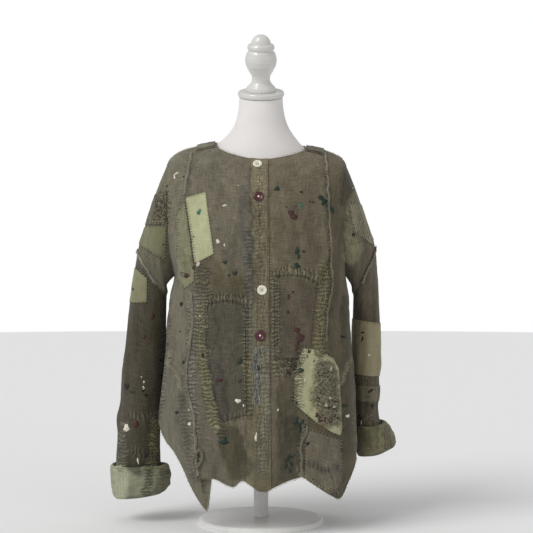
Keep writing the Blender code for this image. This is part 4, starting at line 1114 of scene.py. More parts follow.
# Sleeve patches: side, half of the sleeve, how far back they reach, and outline in the front view
SLEEVE_PATCHES = {
    "patch_sleeve_right_darned": (-1, "upper", 10, [(-250, 722), (-203, 722), (-203, 655), (-270, 655)]),
    "patch_sleeve_right_olive": (-1, "upper", 16, [(-272, 650), (-204, 650), (-206, 578), (-272, 616)]),
    "patch_sleeve_right_light": (-1, "lower", 30, [(-275, 560), (-248, 538), (-250, 486), (-300, 484), (-300, 566)]),
    "patch_sleeve_left_olive": (1, "upper", 12, [(190, 700), (232, 700), (256, 640), (242, 612), (200, 640)]),
    "patch_sleeve_left_light": (1, "lower", 66, [(196, 449), (270, 437), (275, 318), (196, 326)]),
    "patch_sleeve_left_speckled": (1, "lower", 70, [(203, 300), (275, 296), (275, 262), (203, 266)]),
}

# Raw seam strips: side, front or back, and the heights that they run between
SEAM_STRIPS = {
    "seam_right_upper": (-1, True, 815, 716),
    "seam_right_lower": (-1, True, 512, 70),
    "seam_left_upper": (1, True, 812, 402),
    "seam_left_lower": (1, True, 232, 128),
    "seam_right_back": (-1, False, 800, 85),
    "seam_left_back": (1, False, 800, 110),
}
# The ridge round each arm's slanting seam stops short of the side that the body is on
ARM_SEAM_REACH = 5 / SLEEVE_COLUMNS
# Walls of a patch and of the band, and the gap under them
PATCH = 1.0
BAND_WALL = 1.4
LAY_GAP = 0.5
# Pieces that the soft areas of colour are painted on too
TOP_AREAS = ("patch_light_front", "patch_chest_olive", "patch_grey_hem", "pocket_right", "pocket_left")


def sewn_on(name, piece, low, thick, material, colour, node, areas=False):
    """A patch from its cut sheet: raised by low, thick, and with its CAD node hidden."""
    corners = [vertex.co for vertex in piece.verts]
    spans = [max(c[i] for c in corners) - min(c[i] for c in corners) for i in range(3)]
    wide, tall = max(spans[:2]), spans[2]
    area = area_of(piece)
    flat = (wide * MM, max(tall * MM, 0.02))
    if area > flat[0] * flat[1]:
        flat = (area / flat[1] * 1.001, flat[1])
    thicken(piece, low, low + thick)
    made = finish_piece(name, piece, material, colour, areas)
    as_cloth(node, flat, area)
    return made


# %% Patches and the band
TOP_SHEETS = {}
front_sheet = joined(BODY_FRONT)
for name, outline in FRONT_PATCHES.items():
    piece = front_sheet.copy()
    cut_to(piece, outline)
    low = LAY_GAP if name != "patch_light_front" else 2 * LAY_GAP + PATCH
    TOP_SHEETS[name] = (piece.copy(), low + PATCH)
    light = "light" in name
    sewn_on(name + "_cloth", piece, low, PATCH, COTTON if light else LINEN, PIECE_DYE_AND_SHADE[name], name, name in TOP_AREAS)
band = front_sheet.copy()
cut_to(band, BAND_OUTLINE)
TOP_SHEETS["button_band"] = (band.copy(), LAY_GAP + BAND_WALL)
sewn_on("button_band_cloth", band, LAY_GAP, BAND_WALL, LINEN, PIECE_DYE_AND_SHADE["button_band"], "button_band", areas=True)
for name, (side, half, back, outline) in SLEEVE_PATCHES.items():
    piece = joined([{-1: "right", 1: "left"}[side] + "_" + half + "_sleeve"])
    cut_by(piece, [((0, back, 0), (0, 1, 0))])
    cut_to(piece, outline)
    TOP_SHEETS[name] = (piece.copy(), LAY_GAP + PATCH)
    light = "light" in name or name == "patch_sleeve_right_olive"
    sewn_on(name + "_cloth", piece, LAY_GAP, PATCH, COTTON if light else LINEN, PIECE_DYE_AND_SHADE[name], name)

# %% [markdown]
# The folded cloth at the neck's corners is thick: two or three layers, crumpled and bound by a dark line of thread.

# %% Shoulder tabs
# Side, from and to sideways, reach to the front and back
TABS = {
    "shoulder_tab_right": (-1, 97, 142, 28),
    "shoulder_tab_left": (1, 96, 140, 34),
}
neck_sheet = joined(BODY_FRONT + BODY_BACK)
for name, (side, inner, outer, reach) in TABS.items():
    for layer, (grow, low, thick) in enumerate(((0, 0.45, 1.6), (-3, 2.3, 2.2))):
        piece = neck_sheet.copy()
        cut_by(piece, [
            ((side * (inner - grow), 0, 0), (-side, 0, 0)), ((side * (outer + grow), 0, 0), (side, 0, 0)),
            ((0, -reach - grow, 0), (0, -1, 0)), ((0, reach + grow, 0), (0, 1, 0)), ((0, 0, SHOULDER), (0, 0, -1)),
        ])
        for vertex in piece.verts:
            vertex.co += vertex.normal * 1.2 * max(0.0, noise.noise(vertex.co * (1 / 9) + Vector((layer, 0, 0))))
        if layer == 0:
            TOP_SHEETS[name] = (piece.copy(), 4.6)
        thicken(piece, low, low + thick)
        made = finish_piece(f"{name}_layer_{layer + 1}", piece, LINEN, PIECE_DYE_AND_SHADE[name], False)
        if layer == 0:
            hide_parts(name)

# %% [markdown]
# ## Finding places on the cloth
# Threads, frays and paint lie on whatever cloth is outermost. A ray from the camera through a pixel finds it for
# the front, and a ray from behind finds it for the back.

# %% Rays onto the cloth
def tree_of(sheets):
    """A ray-casting tree over bmeshes, each raised by a distance."""
    points, faces = [], []
    for sheet, raise_by in sheets:
        first = len(points)
        sheet.verts.index_update()
        layer = sheet.verts.layers.float_vector["outward"]
        points.extend(vertex.co + vertex[layer] * raise_by for vertex in sheet.verts)
        faces.extend([first + vertex.index for vertex in face.verts] for face in sheet.faces)
    return BVHTree.FromPolygons(points, faces)


OUTER = tree_of([(sheet["mesh"], 0.0) for sheet in SHEETS.values()] + list(TOP_SHEETS.values()))


def on_front(across, down, lift=0.3):
    """The place on the outermost cloth that shows at a pixel, raised by lift, with the cloth's outward there."""
    place, normal, _, _ = OUTER.ray_cast(EYE, toward(across, down))
    if place is None:
        return None
    if normal.dot(EYE - place) < 0:
        normal = -normal
    return place + normal * lift, normal


def on_back(x, z, lift=0.3):
    """The place on the back at a sideways place and height, seen from behind."""
    place, normal, _, _ = OUTER.ray_cast(Vector((x, 600, z)), Vector((0, -1, 0)))
    if place is None:
        return None
    if normal.y < 0:
        normal = -normal
    return place + normal * lift, normal


print("a ray through the middle meets the cloth at", [round(v) for v in on_front(266, 250)[0]])

# %% [markdown]
# ## Threads
# A stitch is a short bent length of thread. Thousands are drawn as one curve object with many splines, which is
# then turned into a single mesh of four-sided tubes.

# %% Thread material and maker
def thread_material(name, colour):
    made, surface = new_material(name, 0.85, {"Sheen Weight": 0.2, "Specular IOR Level": 0.25})
    tinted(made, surface, colour, 4, 2.0, 0.7, 1.2)
    return made


CREAM = thread_material("cream_cotton_thread", "#a39d82")
DARK = thread_material("dark_cotton_thread", "#2f2c24")
NAVY = thread_material("navy_cotton_thread", "#34384a")
OLIVE_THREAD = thread_material("olive_linen_fray", "#7f795d")
PALE_THREAD = thread_material("raw_linen_fray", "#aca98c")
THREAD_LEAP = 8.0


def threads_object(name, lines, radius, material):
    """One mesh of many thin threads, each a list of points in millimetres. One that leaps a gap is left out."""
    lines = [
        line for line in lines if all((b - a).length < THREAD_LEAP for a, b in zip(line, line[1:]))
    ]
    curve = bpy.data.curves.new(name, "CURVE")
    curve.dimensions = "3D"
    curve.bevel_depth = radius * MM
    curve.bevel_resolution = 0
    curve.use_fill_caps = True
    for points in lines:
        spline = curve.splines.new("POLY")
        spline.points.add(len(points) - 1)
        for point, place in zip(spline.points, points):
            point.co = (*(place * MM), 1)
    drawn = new_object(name + "_curve", curve)
    mesh = bpy.data.meshes.new_from_object(drawn.evaluated_get(bpy.context.evaluated_depsgraph_get()))
    bpy.data.objects.remove(drawn)
    mesh.name = name
    mesh.materials.clear()
    mesh.materials.append(material)
    made = new_object(name, mesh)
    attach(made, "root")
    print(name, len(lines), "threads,", len(mesh.polygons), "faces")
    return made


def walk(line, step):
    """Places every step along a line of (across, down), with the direction there."""
    left = 0.0
    for (ax, ay), (bx, by) in zip(line, line[1:]):
        long = math.hypot(bx - ax, by - ay)
        while left <= long:
            t = left / long
            yield ax + (bx - ax) * t, ay + (by - ay) * t, (bx - ax) / long, (by - ay) / long
            left += step
        left -= long


def running_stitches(line, stitch, gap, find=on_front, lift=0.35, wobble=0.25):
    """Running stitches along a line: lengths and gaps in the line's own units."""
    made = []
    for x, y, dx, dy in walk(line, stitch + gap):
        x, y = x + dice.uniform(-wobble, wobble), y + dice.uniform(-wobble, wobble)
        parts = ((0, 0.4), (0.5, 1.6), (1, 0.4))
        spots = [find(x + dx * stitch * t, y + dy * stitch * t, lift * high) for t, high in parts]
        if all(spots):
            made.append([spot[0] for spot in spots])
    return made


def whip_stitches(line, step, length, slant=0.3, find=on_front, lift=0.4):
    """Short stitches across a line, as over a patch's edge."""
    made = []
    for x, y, dx, dy in walk(line, step):
        reach = length * dice.uniform(0.75, 1.2) / 2
        ax, ay = -dy + dx * slant, dx + dy * slant
        spots = [find(x + ax * reach * t, y + ay * reach * t, lift) for t in (-1, 0, 1)]
        if all(spots):
            made.append([spot[0] for spot in spots])
    return made


def outline_in_photo(points):
    """A patch outline in millimetres of the front view, as it shows in the photograph."""
    shown = []
    for x, z in points:
        place = OUTER.ray_cast(Vector((x, -400, z)), Vector((0, 1, 0)))[0]
        if place is None:
            place = Vector((x, -60, z))
        across, down = pixel_of(place)
        shown.append((float(across[0]), float(down[0])))
    return shown


# %% Stitches round the patches
cream, dark, navy = [], [], []
for name, outline in {**FRONT_PATCHES, **{n: s[3] for n, s in SLEEVE_PATCHES.items()}}.items():
    shown = outline_in_photo(outline)
    shown.append(shown[0])
    dark += whip_stitches(shown, 2.6, 2.4)
    if "light" in name or "grey" in name or "olive" in name:
        cream += whip_stitches(shown, 3.4, 3.0, -0.4)
# The placket's two topstitched lines, the pockets' double rows and the upright bands
for line in ([(259, 168), (259, 260), (257, 330), (255, 380)], [(267, 165), (268, 280), (270, 380), (268, 470)]):
    dark += running_stitches(line, 1.6, 1.4)
for line in (
    [(205, 300), (204, 340), (208, 380), (216, 418)], [(200, 300), (199, 340), (203, 380), (210, 418)],
    [(195, 300), (194, 350), (194, 400)], [(327, 270), (324, 310), (320, 350)], [(321, 284), (318, 320), (315, 350)],
    [(273, 280), (273, 360)], [(278, 280), (279, 365)], [(245, 306), (244, 360), (246, 410)], [(250, 306), (250, 400)],
):
    cream += running_stitches(line, 1.6, 1.6)
for line in ([(331, 285), (328, 318), (325, 350)], [(205, 308), (206, 340), (211, 372), (217, 408), (222, 420)]):
    navy += whip_stitches(line, 2.2, 1.6, 0.8)
for line in (
    [(204, 314), (208, 305), (218, 302), (231, 301), (246, 306)], [(275, 277), (290, 275), (305, 277), (317, 284)],
):
    dark += running_stitches(line, 2.2, 0.9)
    cream += whip_stitches([(x, y - 4) for x, y in line], 3.0, 3.2, 0.1)
STITCH_RADIUS = 0.42
NAVY_RADIUS = 0.45
threads_object("stitches_cream", cream, STITCH_RADIUS, CREAM)
threads_object("stitches_dark", dark, STITCH_RADIUS, DARK)
threads_object("stitches_navy", navy, NAVY_RADIUS, NAVY)

# %% [markdown]
# ## Darning
# Thin places were darned over and over in cream thread, in all directions, until the thread hides the cloth.

# %% Darned places
def scribble(corners, count, length, find=on_front, lean=math.pi, wander=1.2):
    """Threads that wander inside a convex area of the photograph. A small lean keeps them all near upright."""
    made = []
    xs, ys = [c[0] for c in corners], [c[1] for c in corners]
    sides = list(zip(corners, corners[1:] + corners[:1]))
    turn = 1 if sum(a[0] * b[1] - b[0] * a[1] for a, b in sides) > 0 else -1
    while len(made) < count:
        x, y = dice.uniform(min(xs), max(xs)), dice.uniform(min(ys), max(ys))
        if any(turn * ((b[0] - a[0]) * (y - a[1]) - (b[1] - a[1]) * (x - a[0])) < 0 for a, b in sides):
            continue
        way = math.pi / 2 + dice.uniform(-lean, lean)
        points = []
        for _ in range(4):
            spot = find(x, y, dice.uniform(0.3, 1.0))
            if spot:
                points.append(spot[0])
            way += dice.uniform(-wander, wander)
            x, y = x + math.cos(way) * length / 4, y + math.sin(way) * length / 4
        if len(points) > 2:
            made.append(points)
    return made


light_right = [(317, 360), (333, 362), (338, 375), (340, 428), (322, 420), (312, 400)]
darning_cream = scribble(light_right, 760, 4) + scribble([(148, 194), (168, 192), (168, 222), (144, 224)], 110, 6)
darning_dark = scribble(light_right, 460, 4) + scribble([(150, 194), (168, 192), (168, 222), (146, 224)], 160, 6)
darning_dark += scribble([(280, 359), (301, 359), (300, 376), (280, 376)], 110, 4)
darning_cream += scribble([(280, 359), (301, 359), (300, 376), (280, 376)], 60, 4)
darning_cream += scribble([(352, 411), (379, 412), (380, 431), (352, 430)], 90, 4)
# Worn warp threads: pale upright floats beside the band, on the pockets and down the sides
worn = []
for corners, count in (
    ([(252, 346), (263, 346), (263, 402), (252, 402)], 90), ([(199, 300), (206, 300), (220, 436), (212, 436)], 40),
    ([(320, 268), (328, 268), (322, 352), (315, 352)], 30), ([(318, 484), (340, 470), (338, 492), (330, 496)], 40),
):
    worn += scribble(corners, count, 6, lean=0.15, wander=0.15)
for i in range(9):
    darning_dark += running_stitches([(350 + i * 2.2, 246 - i * 0.6), (360 + i * 1.6, 204 + i * 1.6)], 3.2, 0.8)
threads_object("darning_cream", darning_cream, 0.32, CREAM)
threads_object("darning_dark", darning_dark, 0.34, DARK)
threads_object("worn_warp_threads", worn, 0.28, PALE_THREAD)

# %% [markdown]
# ## Raw seams
# The princess seams are sewn with their allowances outside. Two raw edges stand up in a narrow frill that wear has
# bent and frayed. Each is a grid along the seam, flat against the cloth on one side and lifting at its free edge.

# %% Frills along the seams
FRILL_ROW = 3.3


def seam_places(side, front, top, foot):
    """Points of a long seam between two heights, ten to each row of the coarse grid."""
    line = seam_line(side, front)
    found = []
    row = 0.0
    while row <= ROWS:
        place = fine_body_point(*line(row))
        if foot <= place.z <= top:
            found.append(place)
        row += 0.1
    return found


def frill(name, path, outward_of, node, half=2.7, height=2.6, foot_lift=0.6, colour="raw_seam"):
    """A wavy raw edge along a path of points. It leans over, and its free edge is ragged."""
    rows, columns = len(path) - 1, 6
    piece, spots = grid_of(columns, rows)
    outward = piece.verts.layers.float_vector["outward"]
    edge = []
    for vertex, (column, row) in spots.items():
        place = path[row]
        along = (path[min(row + 1, rows)] - path[max(row - 1, 0)]).normalized()
        up = outward_of(place)
        across = along.cross(up).normalized()
        share = column / columns * 2 - 1
        wave = noise.noise(place * (1 / 16)) * 2.6 + noise.noise(place * (1 / 5)) * 1.3
        rise = height * max(0.0, 1 - share * share) * (0.75 + 0.4 * noise.noise(place * (1 / 8) + Vector((5, 5, 5))))
        if column == columns:
            rise += 2.0 + 1.8 * noise.noise(place * (1 / 3.5))
        vertex.co = place + up * (foot_lift + rise) + across * (share * half + wave * (0.3 + 0.7 * abs(share)))
        vertex[outward] = (up + across * share * 0.6).normalized()
        if column == columns:
            edge.append((row, vertex.co.copy(), up.copy(), across.copy(), along.copy()))
    map_weave(piece, lambda vertex: (spots[vertex][0] * half * 2 / columns * MM, spots[vertex][1] * FRILL_ROW * MM))
    thicken(piece, 0, 1.0)
    finished = finish_piece(name, piece, LINEN, PIECE_DYE_AND_SHADE[colour], False)
    if node:
        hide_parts(node)
    edge.sort(key=lambda item: item[0])
    return edge


nearest = KDTree(sum(len(s["mesh"].verts) for s in SHEETS.values()))
outward_ways = []
for sheet in SHEETS.values():
    layer = sheet["mesh"].verts.layers.float_vector["outward"]
    for vertex in sheet["mesh"].verts:
        nearest.insert(vertex.co, len(outward_ways))
        outward_ways.append(vertex[layer].copy())
nearest.balance()


def cloth_outward(place):
    return outward_ways[nearest.find(place)[1]]


fray_lines = [], []


def fray(edge, every, length, spread=0.6):
    """Loose threads along a raw edge."""
    for row, place, up, across, along in edge[:: every]:
        for _ in range(2):
            way = (across + up * dice.uniform(-0.1, 0.7) + along * dice.uniform(-spread, spread)).normalized()
            bend = (along * dice.uniform(-1, 1) + up * dice.uniform(-0.5, 0.5)) * 0.3
            long = length * dice.uniform(0.4, 1.2)
            line = [place, place + way * long * 0.5, place + (way + bend) * long]
            fray_lines[dice.random() < 0.4].append(line)


for name, (side, front, top, foot) in SEAM_STRIPS.items():
    fray(frill(name + "_frill", seam_places(side, front, top, foot), cloth_outward, name), 1, 6.0)
for side, where in ((-1, "right"), (1, "left")):
    reach = ARM_SEAM_REACH
    path = [fine_sleeve_point(side, (t / 60 * 2 * reach - reach) % 1, UPPER_STATIONS) for t in range(61)]
    fray(frill(f"seam_{where}_arm_frill", path, cloth_outward, f"seam_{where}_arm"), 2, 3.5)

for line in GUSSETS:
    found = [on_front(x, y, 0.2) for x, y, _, _ in walk(line, 1.2)]
    found = [spot for spot in found if spot]
    for (place, up), (later, _) in zip(found, found[1:]):
        along = (later - place).normalized()
        fray([(0, place, up, along.cross(up), along), (0, place, up, up.cross(along), along)], 1, 4.5)

# A gathered pucker above the right front's hem: an oval frill of raw cloth
ring = [math.radians(12 * step) for step in range(31)]
lump = [on_front(198 + 4 * math.cos(turn) - 2 * math.sin(turn), 459 + 9 * math.sin(turn), 0.5)[0] for turn in ring]
fray(frill("hem_pucker", lump, cloth_outward, None, 3.0, 4.5, colour="right_side_front"), 3, 4)

# %% The turned-back edge behind the right front tip
# It hangs just behind the fronts, and shows as a paler strip between the tip and the hem
behind = max(on_front(across, 470)[0].y for across in range(190, 214, 3)) + 5
COLUMNS, LINES = 10, 20
turned_back, spots = grid_of(COLUMNS, LINES)
layer = turned_back.verts.layers.float_vector["outward"]
strip_edge = []
for vertex, (column, row) in spots.items():
    u, v = column / COLUMNS, row / LINES
    left, right = 189 + 16 * v, 213 - 4.5 * v ** 1.2
    way = toward(left + (right - left) * u, 464 + 44 * v)
    place = EYE + way * ((behind - EYE.y) / way.y)
    place.y += 1.6 * math.sin(v * 7 + u * 2) + 1.5 * u
    vertex[layer] = Vector((0, -1, 0))
    vertex.co = place
    if column == COLUMNS or (row == LINES and u >= 0.4):
        strip_edge.append((0, place.copy(), Vector((0, -1, 0)), Vector((1 - v * 0.6, 0, -v)), Vector((0, 0, 1))))
map_weave(turned_back, lambda vertex: (vertex.co.x * MM, vertex.co.z * MM))
thicken(turned_back, 0, 1.0)
# Its pale colour is partly the cloth's own and partly painted light, lightened against the shade it hangs in behind the
# fronts
finish_piece("right_tip_turned_back_edge", turned_back, LINEN, "#95917a", False)
fray(strip_edge, 1, 2.5)

# %% Frays of the neckline, the hem and the armholes
def border_path(names, keep):
    """Boundary points of joined sheets that pass a test, with their directions."""
    whole = joined(names)
    found = []
    layer = whole.verts.layers.float_vector["outward"]
    for edge in whole.edges:
        if edge.is_boundary and keep((edge.verts[0].co + edge.verts[1].co) / 2):
            along = (edge.verts[1].co - edge.verts[0].co).normalized()
            up = edge.verts[0][layer].normalized()
            middle = (edge.verts[0].co + edge.verts[1].co) / 2
            across = along.cross(up).normalized()
            if across.dot(edge.link_faces[0].calc_center_median() - middle) > 0:
                across.negate()
            found.append((0, middle, up, across, along))
    whole.free()
    return found


body_rim = border_path(BODY_FRONT + BODY_BACK, lambda p: p.z > 800 or p.z < 240)
fray(body_rim, 1, 3.2)
FRAY_RADIUS = 0.3
threads_object("frays_olive", fray_lines[0], FRAY_RADIUS, OLIVE_THREAD)
threads_object("frays_pale", fray_lines[1], FRAY_RADIUS, PALE_THREAD)

# %% [markdown]
# ## Turned-up cuffs
# The sleeves' ends are turned up once or twice, so the greener inside of the cloth shows. The roll is soft: it
# bulges, creases across, and gathers in a rough band where it was sewn.

# %% Cuffs
# A cuff's rings from the fold up: stations above the sleeve's end, and how far it stands off the sleeve on its
# outer side, on the side towards the body, and at its front and back
CUFF_SHAPE = {
    -1: [(0.0, 0.5, 0.5, 0.5), (0.04, 4.5, 8, 3.5), (0.13, 9, 17, 7), (0.30, 12, 20, 10), (0.42, 13, 16, 12),
         (0.48, 12, 13, 11), (0.50, 9.5, 10.5, 8.5), (0.46, 8, 8, 7)],
    1: [(0.0, 0.5, 0.5, 0.5), (0.05, 12, 2, 4), (0.12, 24, 2, 7), (0.20, 30, 2, 9), (0.38, 26, 2, 12),
        (0.54, 18, 2, 12), (0.60, 14.5, 2, 11), (0.62, 10.5, 1.6, 8.5), (0.57, 8, 1.4, 7)],
}
CUFF_STEPS = 6
CUFF_ROUND = 0.36  # metres of cloth round a cuff
LINING = woven("sage_lining_side_of_linen", 2.6, 0.1, 0.12, 7.0)
for side, where in ((-1, "right"), (1, "left")):
    rings = CUFF_SHAPE[side]
    last = len(SLEEVE[side])
    columns, rows = SLEEVE_COLUMNS * 6, (len(rings) - 1) * CUFF_STEPS
    piece, spots = grid_of(columns, rows)
    outward = piece.verts.layers.float_vector["outward"]
    weave_of = {}
    for vertex, (column, down) in spots.items():
        row = rows - down
        turn = column / columns % 1
        ring = min(row // CUFF_STEPS, len(rings) - 2)
        share = row / CUFF_STEPS - ring
        up, outer, inner, across = (a + (b - a) * share for a, b in zip(rings[ring], rings[ring + 1]))
        around = 2 * math.pi * turn
        way = Vector((side * math.cos(around), -math.sin(around), 0))
        part = abs(math.cos(around))
        stand = across + ((outer if math.cos(around) > 0 else inner) - across) * part
        middle = min(1.0, row / rows * 3) * min(1.0, (1 - row / rows) * 4)
        roll = 1.3 * math.cos(3 * around + 4 * row / rows) + 1.3 * math.cos(7 * around - 9 * row / rows)
        circle = Vector((math.cos(around), math.sin(around), 0))
        roll += 3.6 * noise.noise(circle * 2.0 + Vector((0, 0, row * 0.16 + 5 * side)))
        roll += 1.6 * noise.noise(circle * 5.0 + Vector((0, 0, row * 0.3 + 7)))
        gather = math.exp(-(((math.degrees(around) - (95 if side < 0 else 60)) / 13) ** 2))
        stand += middle * (roll + 1.4) * (0.6 if math.cos(around) < 0 and side > 0 else 1.0)
        stand += gather * middle * (1.6 + 3.4 * noise.noise(Vector((around * 5, row * 0.55, 3))))
        place = sleeve_point(side, turn, last - up) + way * max(stand, 0.5)
        uneven = noise.noise(circle * 1.2 + Vector((4, 0, side)))
        place.z += 1.6 * middle * math.cos(2 * around + 1.1) + (0.2 + row / rows) * 3.4 * uneven
        vertex.co = place
        vertex[outward] = way
        weave_of[vertex] = (turn * CUFF_ROUND if column < columns else CUFF_ROUND, row * 1.6 * MM)
    map_weave(piece, weave_of.get)
    bmesh.ops.remove_doubles(piece, verts=piece.verts, dist=WELD)
    bmesh.ops.recalc_face_normals(piece, faces=piece.faces)
    far = max(piece.faces, key=lambda face: side * face.calc_center_median().x)
    if far.normal.x * side < 0:
        bmesh.ops.reverse_faces(piece, faces=piece.faces)
    piece.normal_update()
    area = area_of(piece)
    for vertex in piece.verts:
        vertex[outward] = vertex.normal
    thicken(piece, -0.2, 1.2)
    made = finish_piece(where + "_cuff_cloth", piece, LINING, PIECE_DYE_AND_SHADE[where + "_cuff"])
    flat = (CUFF_ROUND, max(area / CUFF_ROUND, 0.03))
    as_cloth(where + "_cuff", flat, area)

# %% [markdown]
# ## Paint
# Drops and smears of wall paint have dried on the cloth. Each is a small uneven disc that lies on the surface, so
# it keeps a crisp edge in every view.

# %% Dried paint
def paint_material(name, colour, roughness):
    made, surface = new_material(name, roughness, {"Specular IOR Level": 0.35})
    cloth = tinted(made, surface, colour, 3, 3.0, 0.75, 1.2)
    bump = add_node(made, "Bump", {}, {"Height": cloth, "Strength": 0.5, "Distance": 0.5 * MM})
    made.node_tree.links.new(bump.outputs["Normal"], surface.inputs["Normal"])
    return made


PAINTS = {
    "green": ("#20332a", [
        (276.8, 188.8, 2.9, 2.2, -0.3), (321, 198, 3.4, 2.2, 0.5), (324, 202, 2.6, 3.4, 0.6),
        (328, 205, 2.4, 3.6, -0.6),
        (332, 210, 2.0, 3.2, -0.5), (297, 251, 2.2, 3.4, 0.1), (298.5, 256, 1.3, 3.2, -0.2),
        (303.5, 251.5, 1.5, 1.2, 0.4),
        (296.6, 266, 3.2, 2.9, 0), (225, 262, 2.2, 1.8, 0), (235, 273, 2.4, 2.2, 0), (229, 275.5, 1.5, 1.2, 0),
        (240, 361, 2.2, 3.6, 0.3), (259, 368, 2.2, 2.4, 0), (224, 441, 4.1, 3.9, 0), (296, 421, 1.4, 4.5, 0.5),
        (299, 425, 1.5, 3.6, -0.6), (302, 422, 1.5, 3.4, 0.7), (300, 430, 1.3, 2.6, 0.2), (305, 426, 1.2, 2.6, -0.4),
        (288, 458, 1.6, 4.2, 0.5), (291, 463, 1.5, 3.8, -0.6), (286, 466, 1.3, 3.2, 0.2), (293, 456, 1.1, 3.0, 0.9),
        (290, 470, 1.2, 2.6, -0.2), (345, 405.5, 3.2, 1.4, 0.1), (352, 403, 3.2, 1.4, -0.2),
        (295.5, 403, 2.4, 1.9, 0.3),
        (301, 370, 2.8, 1.9, 0.2), (318.5, 372, 1.5, 2.6, 0.3), (160, 360, 1.6, 1.5, 0), (132, 392, 2.6, 1.2, 0),
        (313, 202, 1.2, 1.0, 0), (133, 289, 0.8, 1.6, 0),
    ]),
    "teal": ("#3d6f5c", [(199, 212, 1.7, 3.1, 0.5), (301.5, 205.5, 1.9, 1.5, 0.2)]),
    "red_brown": ("#472b26", [
        (291, 213, 2.6, 3.6, -0.5), (294, 217, 3.2, 2.6, 0.4), (286.5, 207, 1.0, 0.9, 0), (297, 216, 1.0, 0.9, 0),
        (185, 275, 4.6, 2.2, 0.5), (193.5, 268, 1.5, 1.4, 0), (288.5, 297, 1.3, 3.0, 0.1),
        (152.5, 316, 1.8, 3.6, 0.05),
        (297, 330, 3.4, 2.4, 0.3), (300, 338, 4.2, 4.4, 0.1), (297, 346, 1.8, 4.2, 0.1), (219, 380, 3.2, 2.2, 0.3),
        (240, 381, 2.2, 1.5, -0.5), (141, 321, 0.8, 2.0, 0), (144, 337, 1.6, 2.0, 0.5), (136, 424, 2.4, 3.8, 0),
        (317, 415, 1.9, 2.6, 0.2), (321, 419, 3.4, 3.0, 0), (330, 420, 2.6, 2.8, 0.3), (318, 397, 1.7, 1.6, 0),
        (329, 408, 1.8, 1.3, 0.2), (309, 351, 1.5, 2.4, 0), (343, 430, 1.2, 1.0, 0), (134, 476, 1.6, 1.0, 0),
    ]),
    "white": ("#d8d4c4", [
        (224.5, 205.5, 2.4, 1.0, -0.3), (218, 241.5, 1.9, 2.3, -0.4), (224.5, 245, 0.7, 1.5, -0.2),
        (198, 264, 1.7, 2.6, 0.3),
        (238.5, 185.5, 0.5, 0.5, 0), (174.5, 177, 0.8, 2.4, -0.1), (176.5, 173.5, 2.2, 0.8, -0.6),
        (238, 401, 3.3, 2.1, 0.1),
        (243.5, 405.5, 0.8, 1.4, 0), (144, 382, 0.9, 1.2, 0), (143.5, 388, 1.2, 1.7, 0), (141.5, 377, 0.7, 0.6, 0),
        (126.5, 428, 2.8, 3.8, 0), (138, 461, 0.9, 3.4, -0.2), (347.5, 416, 2.1, 1.5, -0.25),
        (189.5, 424, 1.6, 1.9, 0.2),
        (256, 437, 1.2, 4.6, 0.1), (331, 368, 1.4, 2.6, 0.2), (318, 352, 0.7, 0.6, 0), (326, 405, 1.3, 2.2, 0.3),
        (334, 407, 1.6, 1.2, 0.3), (330, 398, 1.0, 1.2, 0), (305, 380, 0.6, 1.8, 0.3), (369, 355, 1.3, 0.9, 0),
        (200, 316, 0.8, 0.9, 0), (189, 410, 0.8, 0.8, 0), (361, 423, 1.2, 2.2, 0), (353, 188, 0.6, 0.6, 0),
        (278, 410, 0.8, 1.4, 0.4),
    ]),
    "black": ("#1c1a17", [
        (183.5, 177, 0.9, 0.9, 0), (301, 192, 1.7, 0.9, 0.3), (310, 201.5, 0.8, 0.7, 0), (167, 186, 0.7, 1.3, 0),
        (193.5, 236.5, 0.7, 0.7, 0), (181.5, 304, 1.5, 2.2, 0.2), (184.5, 361, 1.0, 4.0, 0.6), (127, 386, 2.4, 2.9, 0),
        (143, 390, 1.3, 2.4, 0), (145.5, 395, 2.4, 1.3, 0.5), (177, 412.5, 1.9, 1.5, 0.2),
        (343.5, 337, 3.4, 1.2, 0.15),
        (363, 332.5, 1.5, 0.9, 0), (362.5, 339, 0.9, 2.6, 0.2), (307, 443.5, 2.4, 2.0, -0.5),
        (203, 355, 1.4, 2.2, -0.3),
        (353.5, 234.5, 1.5, 1.5, 0), (329.5, 226.5, 0.9, 1.2, 0), (180, 331.5, 0.7, 0.7, 0), (321, 389.5, 1.8, 1.7, 0),
        (356.5, 384, 1.4, 3.0, -0.2), (370.5, 391, 3.2, 1.0, -0.6), (372.5, 406, 1.0, 2.0, 0), (360, 417, 1.8, 2.6, 0),
        (146, 208, 0.8, 1.0, 0), (163, 244.5, 0.8, 0.8, 0), (168, 344, 0.8, 0.8, 0), (170, 358, 0.8, 0.8, 0),
        (293, 292, 1.0, 1.0, 0), (288, 312, 1.0, 1.6, 0), (146, 455, 1.2, 2.0, 0), (338, 418, 1.8, 1.4, -0.6),
        (217.5, 409.5, 0.8, 0.8, 0), (232, 355, 0.7, 0.7, 0), (110, 480, 1.0, 1.8, 0), (296, 206, 0.6, 0.6, 0),
        (371, 306, 0.5, 0.6, 0),
    ]),
    "pink": ("#7d5048", [
        (328, 400, 1.3, 2.0, 0.3), (322, 425, 1.4, 0.9, 0.4), (333, 415, 1.5, 1.4, 0), (314, 361, 0.7, 1.6, 0.4),
        (307, 356, 0.6, 1.4, -0.4),
    ]),
}
DROP_SIDES = 14
DROP_WALL = 0.3


